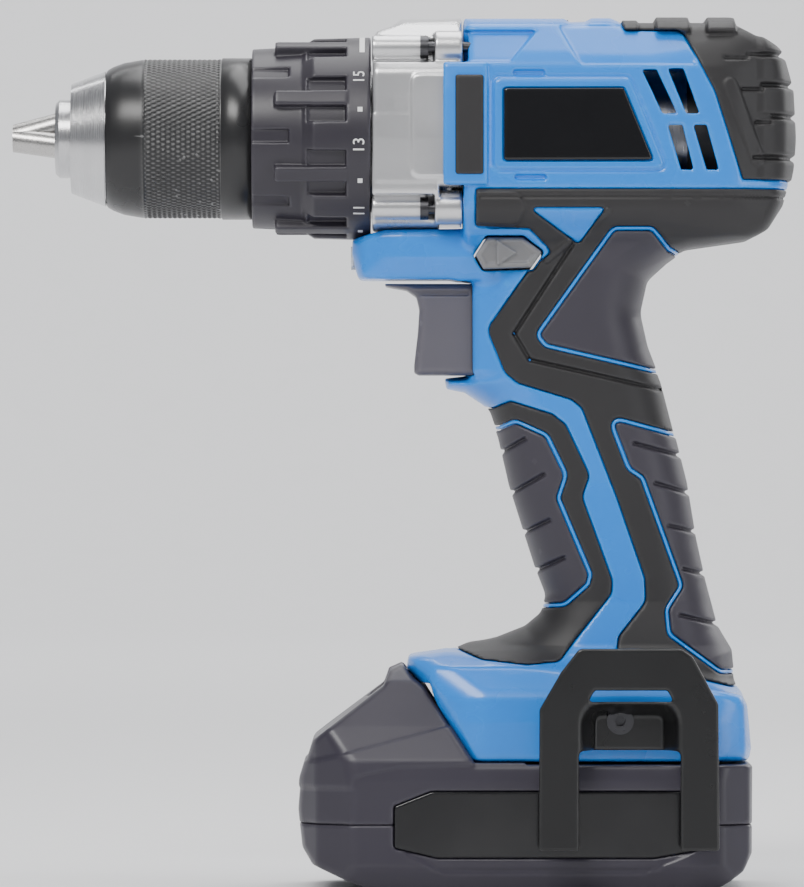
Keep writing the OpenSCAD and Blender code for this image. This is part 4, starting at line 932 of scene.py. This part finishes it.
pack_plastic = grained("pack grey nylon", (0.032, 0.028, 0.042), 0.25, 0.36, 0.00002, wear_and_sheen_colour=(0.09, 0.085, 0.1))
pack_step = 0.6
mould("pack_upper", lambda x, y, z: pack_case(x, y, z, 1), (-63, -39, 17), (63, 39, 63), pack_plastic, "pack",
      "dark_plastic", "pack_case_upper", step=pack_step)
mould("pack_lower", lambda x, y, z: pack_case(x, y, z, -1), (-63, -39, -1.5), (63, 39, 20), pack_plastic, "pack",
      "dark_plastic", "pack_case_lower", step=pack_step)
mould("pack_panels", panel_form, (-37, -38, 7), (52, 38, 29), piano_black, "pack", "gloss_black", "pack_side_panels",
      step=0.45)
mould("latch_button", latch_form, (-40, -13.5, 48), (-31, 13.5, 62), warm_grey, "pack_latch", "light_grey_plastic",
      "pack_latch", step=0.42)
finish_nodes(grained("cell sleeve", (0.05, 0.22, 0.4), 0.4, 0.3, 0.00001), "pack_cells")
finish_nodes(drawn_metal("zinc plated screw", (0.6, 0.6, 0.62), (900.0, 900.0, 900.0), 0.3), "pack_screws")
finish_nodes(drawn_metal("turned brass", (0.6, 0.45, 0.18), (300.0, 12000.0, 300.0), 0.28), "hook_inserts")

# --- Belt hook ------------------------------------------------------------------------
# Pressed from sheet steel and blackened: two legs hang from a wide plate, and the bar
# between them is dished in to meet the foot, where one screw holds it.
hook_shape = outline([(3.4, 11.8, 1), (3.6, 49.6, 2), (9.4, 59.6, 3), (14.2, 65.8, 2), (41.3, 65.8, 2),
                      (44.6, 63.6, 3), (51.4, 51, 2), (51.7, 11.8, 1), (41.3, 11.8, 1), (41.3, 38.4, 1.5),
                      (14.2, 38.4, 1.5), (14.2, 11.8, 1)])
hook_slot = outline([(16.6, 51.6, 0.8), (18.4, 54.6, 1), (37.8, 54.6, 1), (39.4, 51.6, 0.8)])
hook_dish = outline([(17, 36, 0), (17, 49.4, 4), (38.6, 49.4, 4), (38.6, 36, 0)])
hook_hole = (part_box("belt_hook_screw")[0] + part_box("belt_hook_screw")[1]) / 2 / MM


def hook_form(x, y, z):
    dip = ramp(hook_dish(x, z) - 0.6, 5.4)
    sheet = np.abs(y + 46.55 - 9.15 * dip) / (1 + 1.3 * dip * (1 - dip) * 4) - 0.8
    shape = np.maximum(hook_shape(x, z), -hook_slot(x, z))
    shape = np.maximum(shape, 2.1 - np.hypot(x - hook_hole[0], z - hook_hole[2]))
    return both(sheet, shape, 0.7)


hook_black = grained("black phosphated steel", (0.006, 0.006, 0.0065), 0.5, 0.3, 0.00001, wear_and_sheen_colour=(0.06, 0.06, 0.06))
mould("hook_sheet", hook_form, (1, -49, 10), (54, -34, 68), hook_black, "housing", "hook_steel", "belt_hook",
      step=0.42)
finish_nodes(black_oxide, "belt_hook_screw")

# --- Stage ----------------------------------------------------------------------------
# A pale seamless floor that turns up into a backdrop, lit by large soft lights.
sweep_mesh = bpy.data.meshes.new("backdrop")
curve = [(-5.0, 0.0)] + [(3.2 + 0.8 * math.sin(a), 0.8 - 0.8 * math.cos(a)) for a in np.linspace(0, math.pi / 2, 14)]
curve += [(4.0, 3.5)]
points = [(x, y, z) for x in (-5.0, 5.0) for y, z in curve]
count = len(curve)
sweep_mesh.from_pydata(points, [], [(i, i + 1, count + i + 1, count + i) for i in range(count - 1)])
sweep_mesh.shade_smooth()
paper = grained("backdrop paper", (0.78, 0.78, 0.79), 0.8, 0.7, 0.00002, change=0.02)
sweep_mesh.materials.append(paper)
backdrop = bpy.data.objects.new("backdrop", sweep_mesh)
backdrop.location.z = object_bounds()[0][2] - 0.0002
bpy.context.scene.collection.objects.link(backdrop)


def softbox(name, place, size, power, colour, target=look_at):
    light = bpy.data.lights.new(name, "AREA")
    light.shape = "RECTANGLE"
    light.size, light.size_y = size
    light.energy = power
    light.color = colour
    holder = bpy.data.objects.new(name, light)
    holder.location = place
    holder.rotation_euler = (Vector(target) - Vector(place)).to_track_quat("-Z", "Y").to_euler()
    bpy.context.scene.collection.objects.link(holder)


softbox("key", (-0.5, -1.0, 1.1), (0.8, 0.5), 17, (1, 0.99, 0.97))
softbox("fill", (1.2, -1.0, 0.4), (0.5, 0.9), 5, (0.96, 0.98, 1))
softbox("top", (0.1, 0.1, 1.3), (1.2, 0.7), 13, (1, 1, 1))
softbox("back", (0.9, 0.9, 0.7), (0.6, 0.9), 6, (1, 1, 1))
softbox("backdrop_wash", (0, 1.9, 2.7), (3.5, 0.5), 110, (1, 1, 1), target=(0, 4, 0.3))
world = bpy.data.worlds.new("studio")
world.use_nodes = True
world.node_tree.nodes["Background"].inputs["Color"].default_value = (0.86, 0.88, 0.92, 1)
world.node_tree.nodes["Background"].inputs["Strength"].default_value = 0.36
bpy.context.scene.world = world
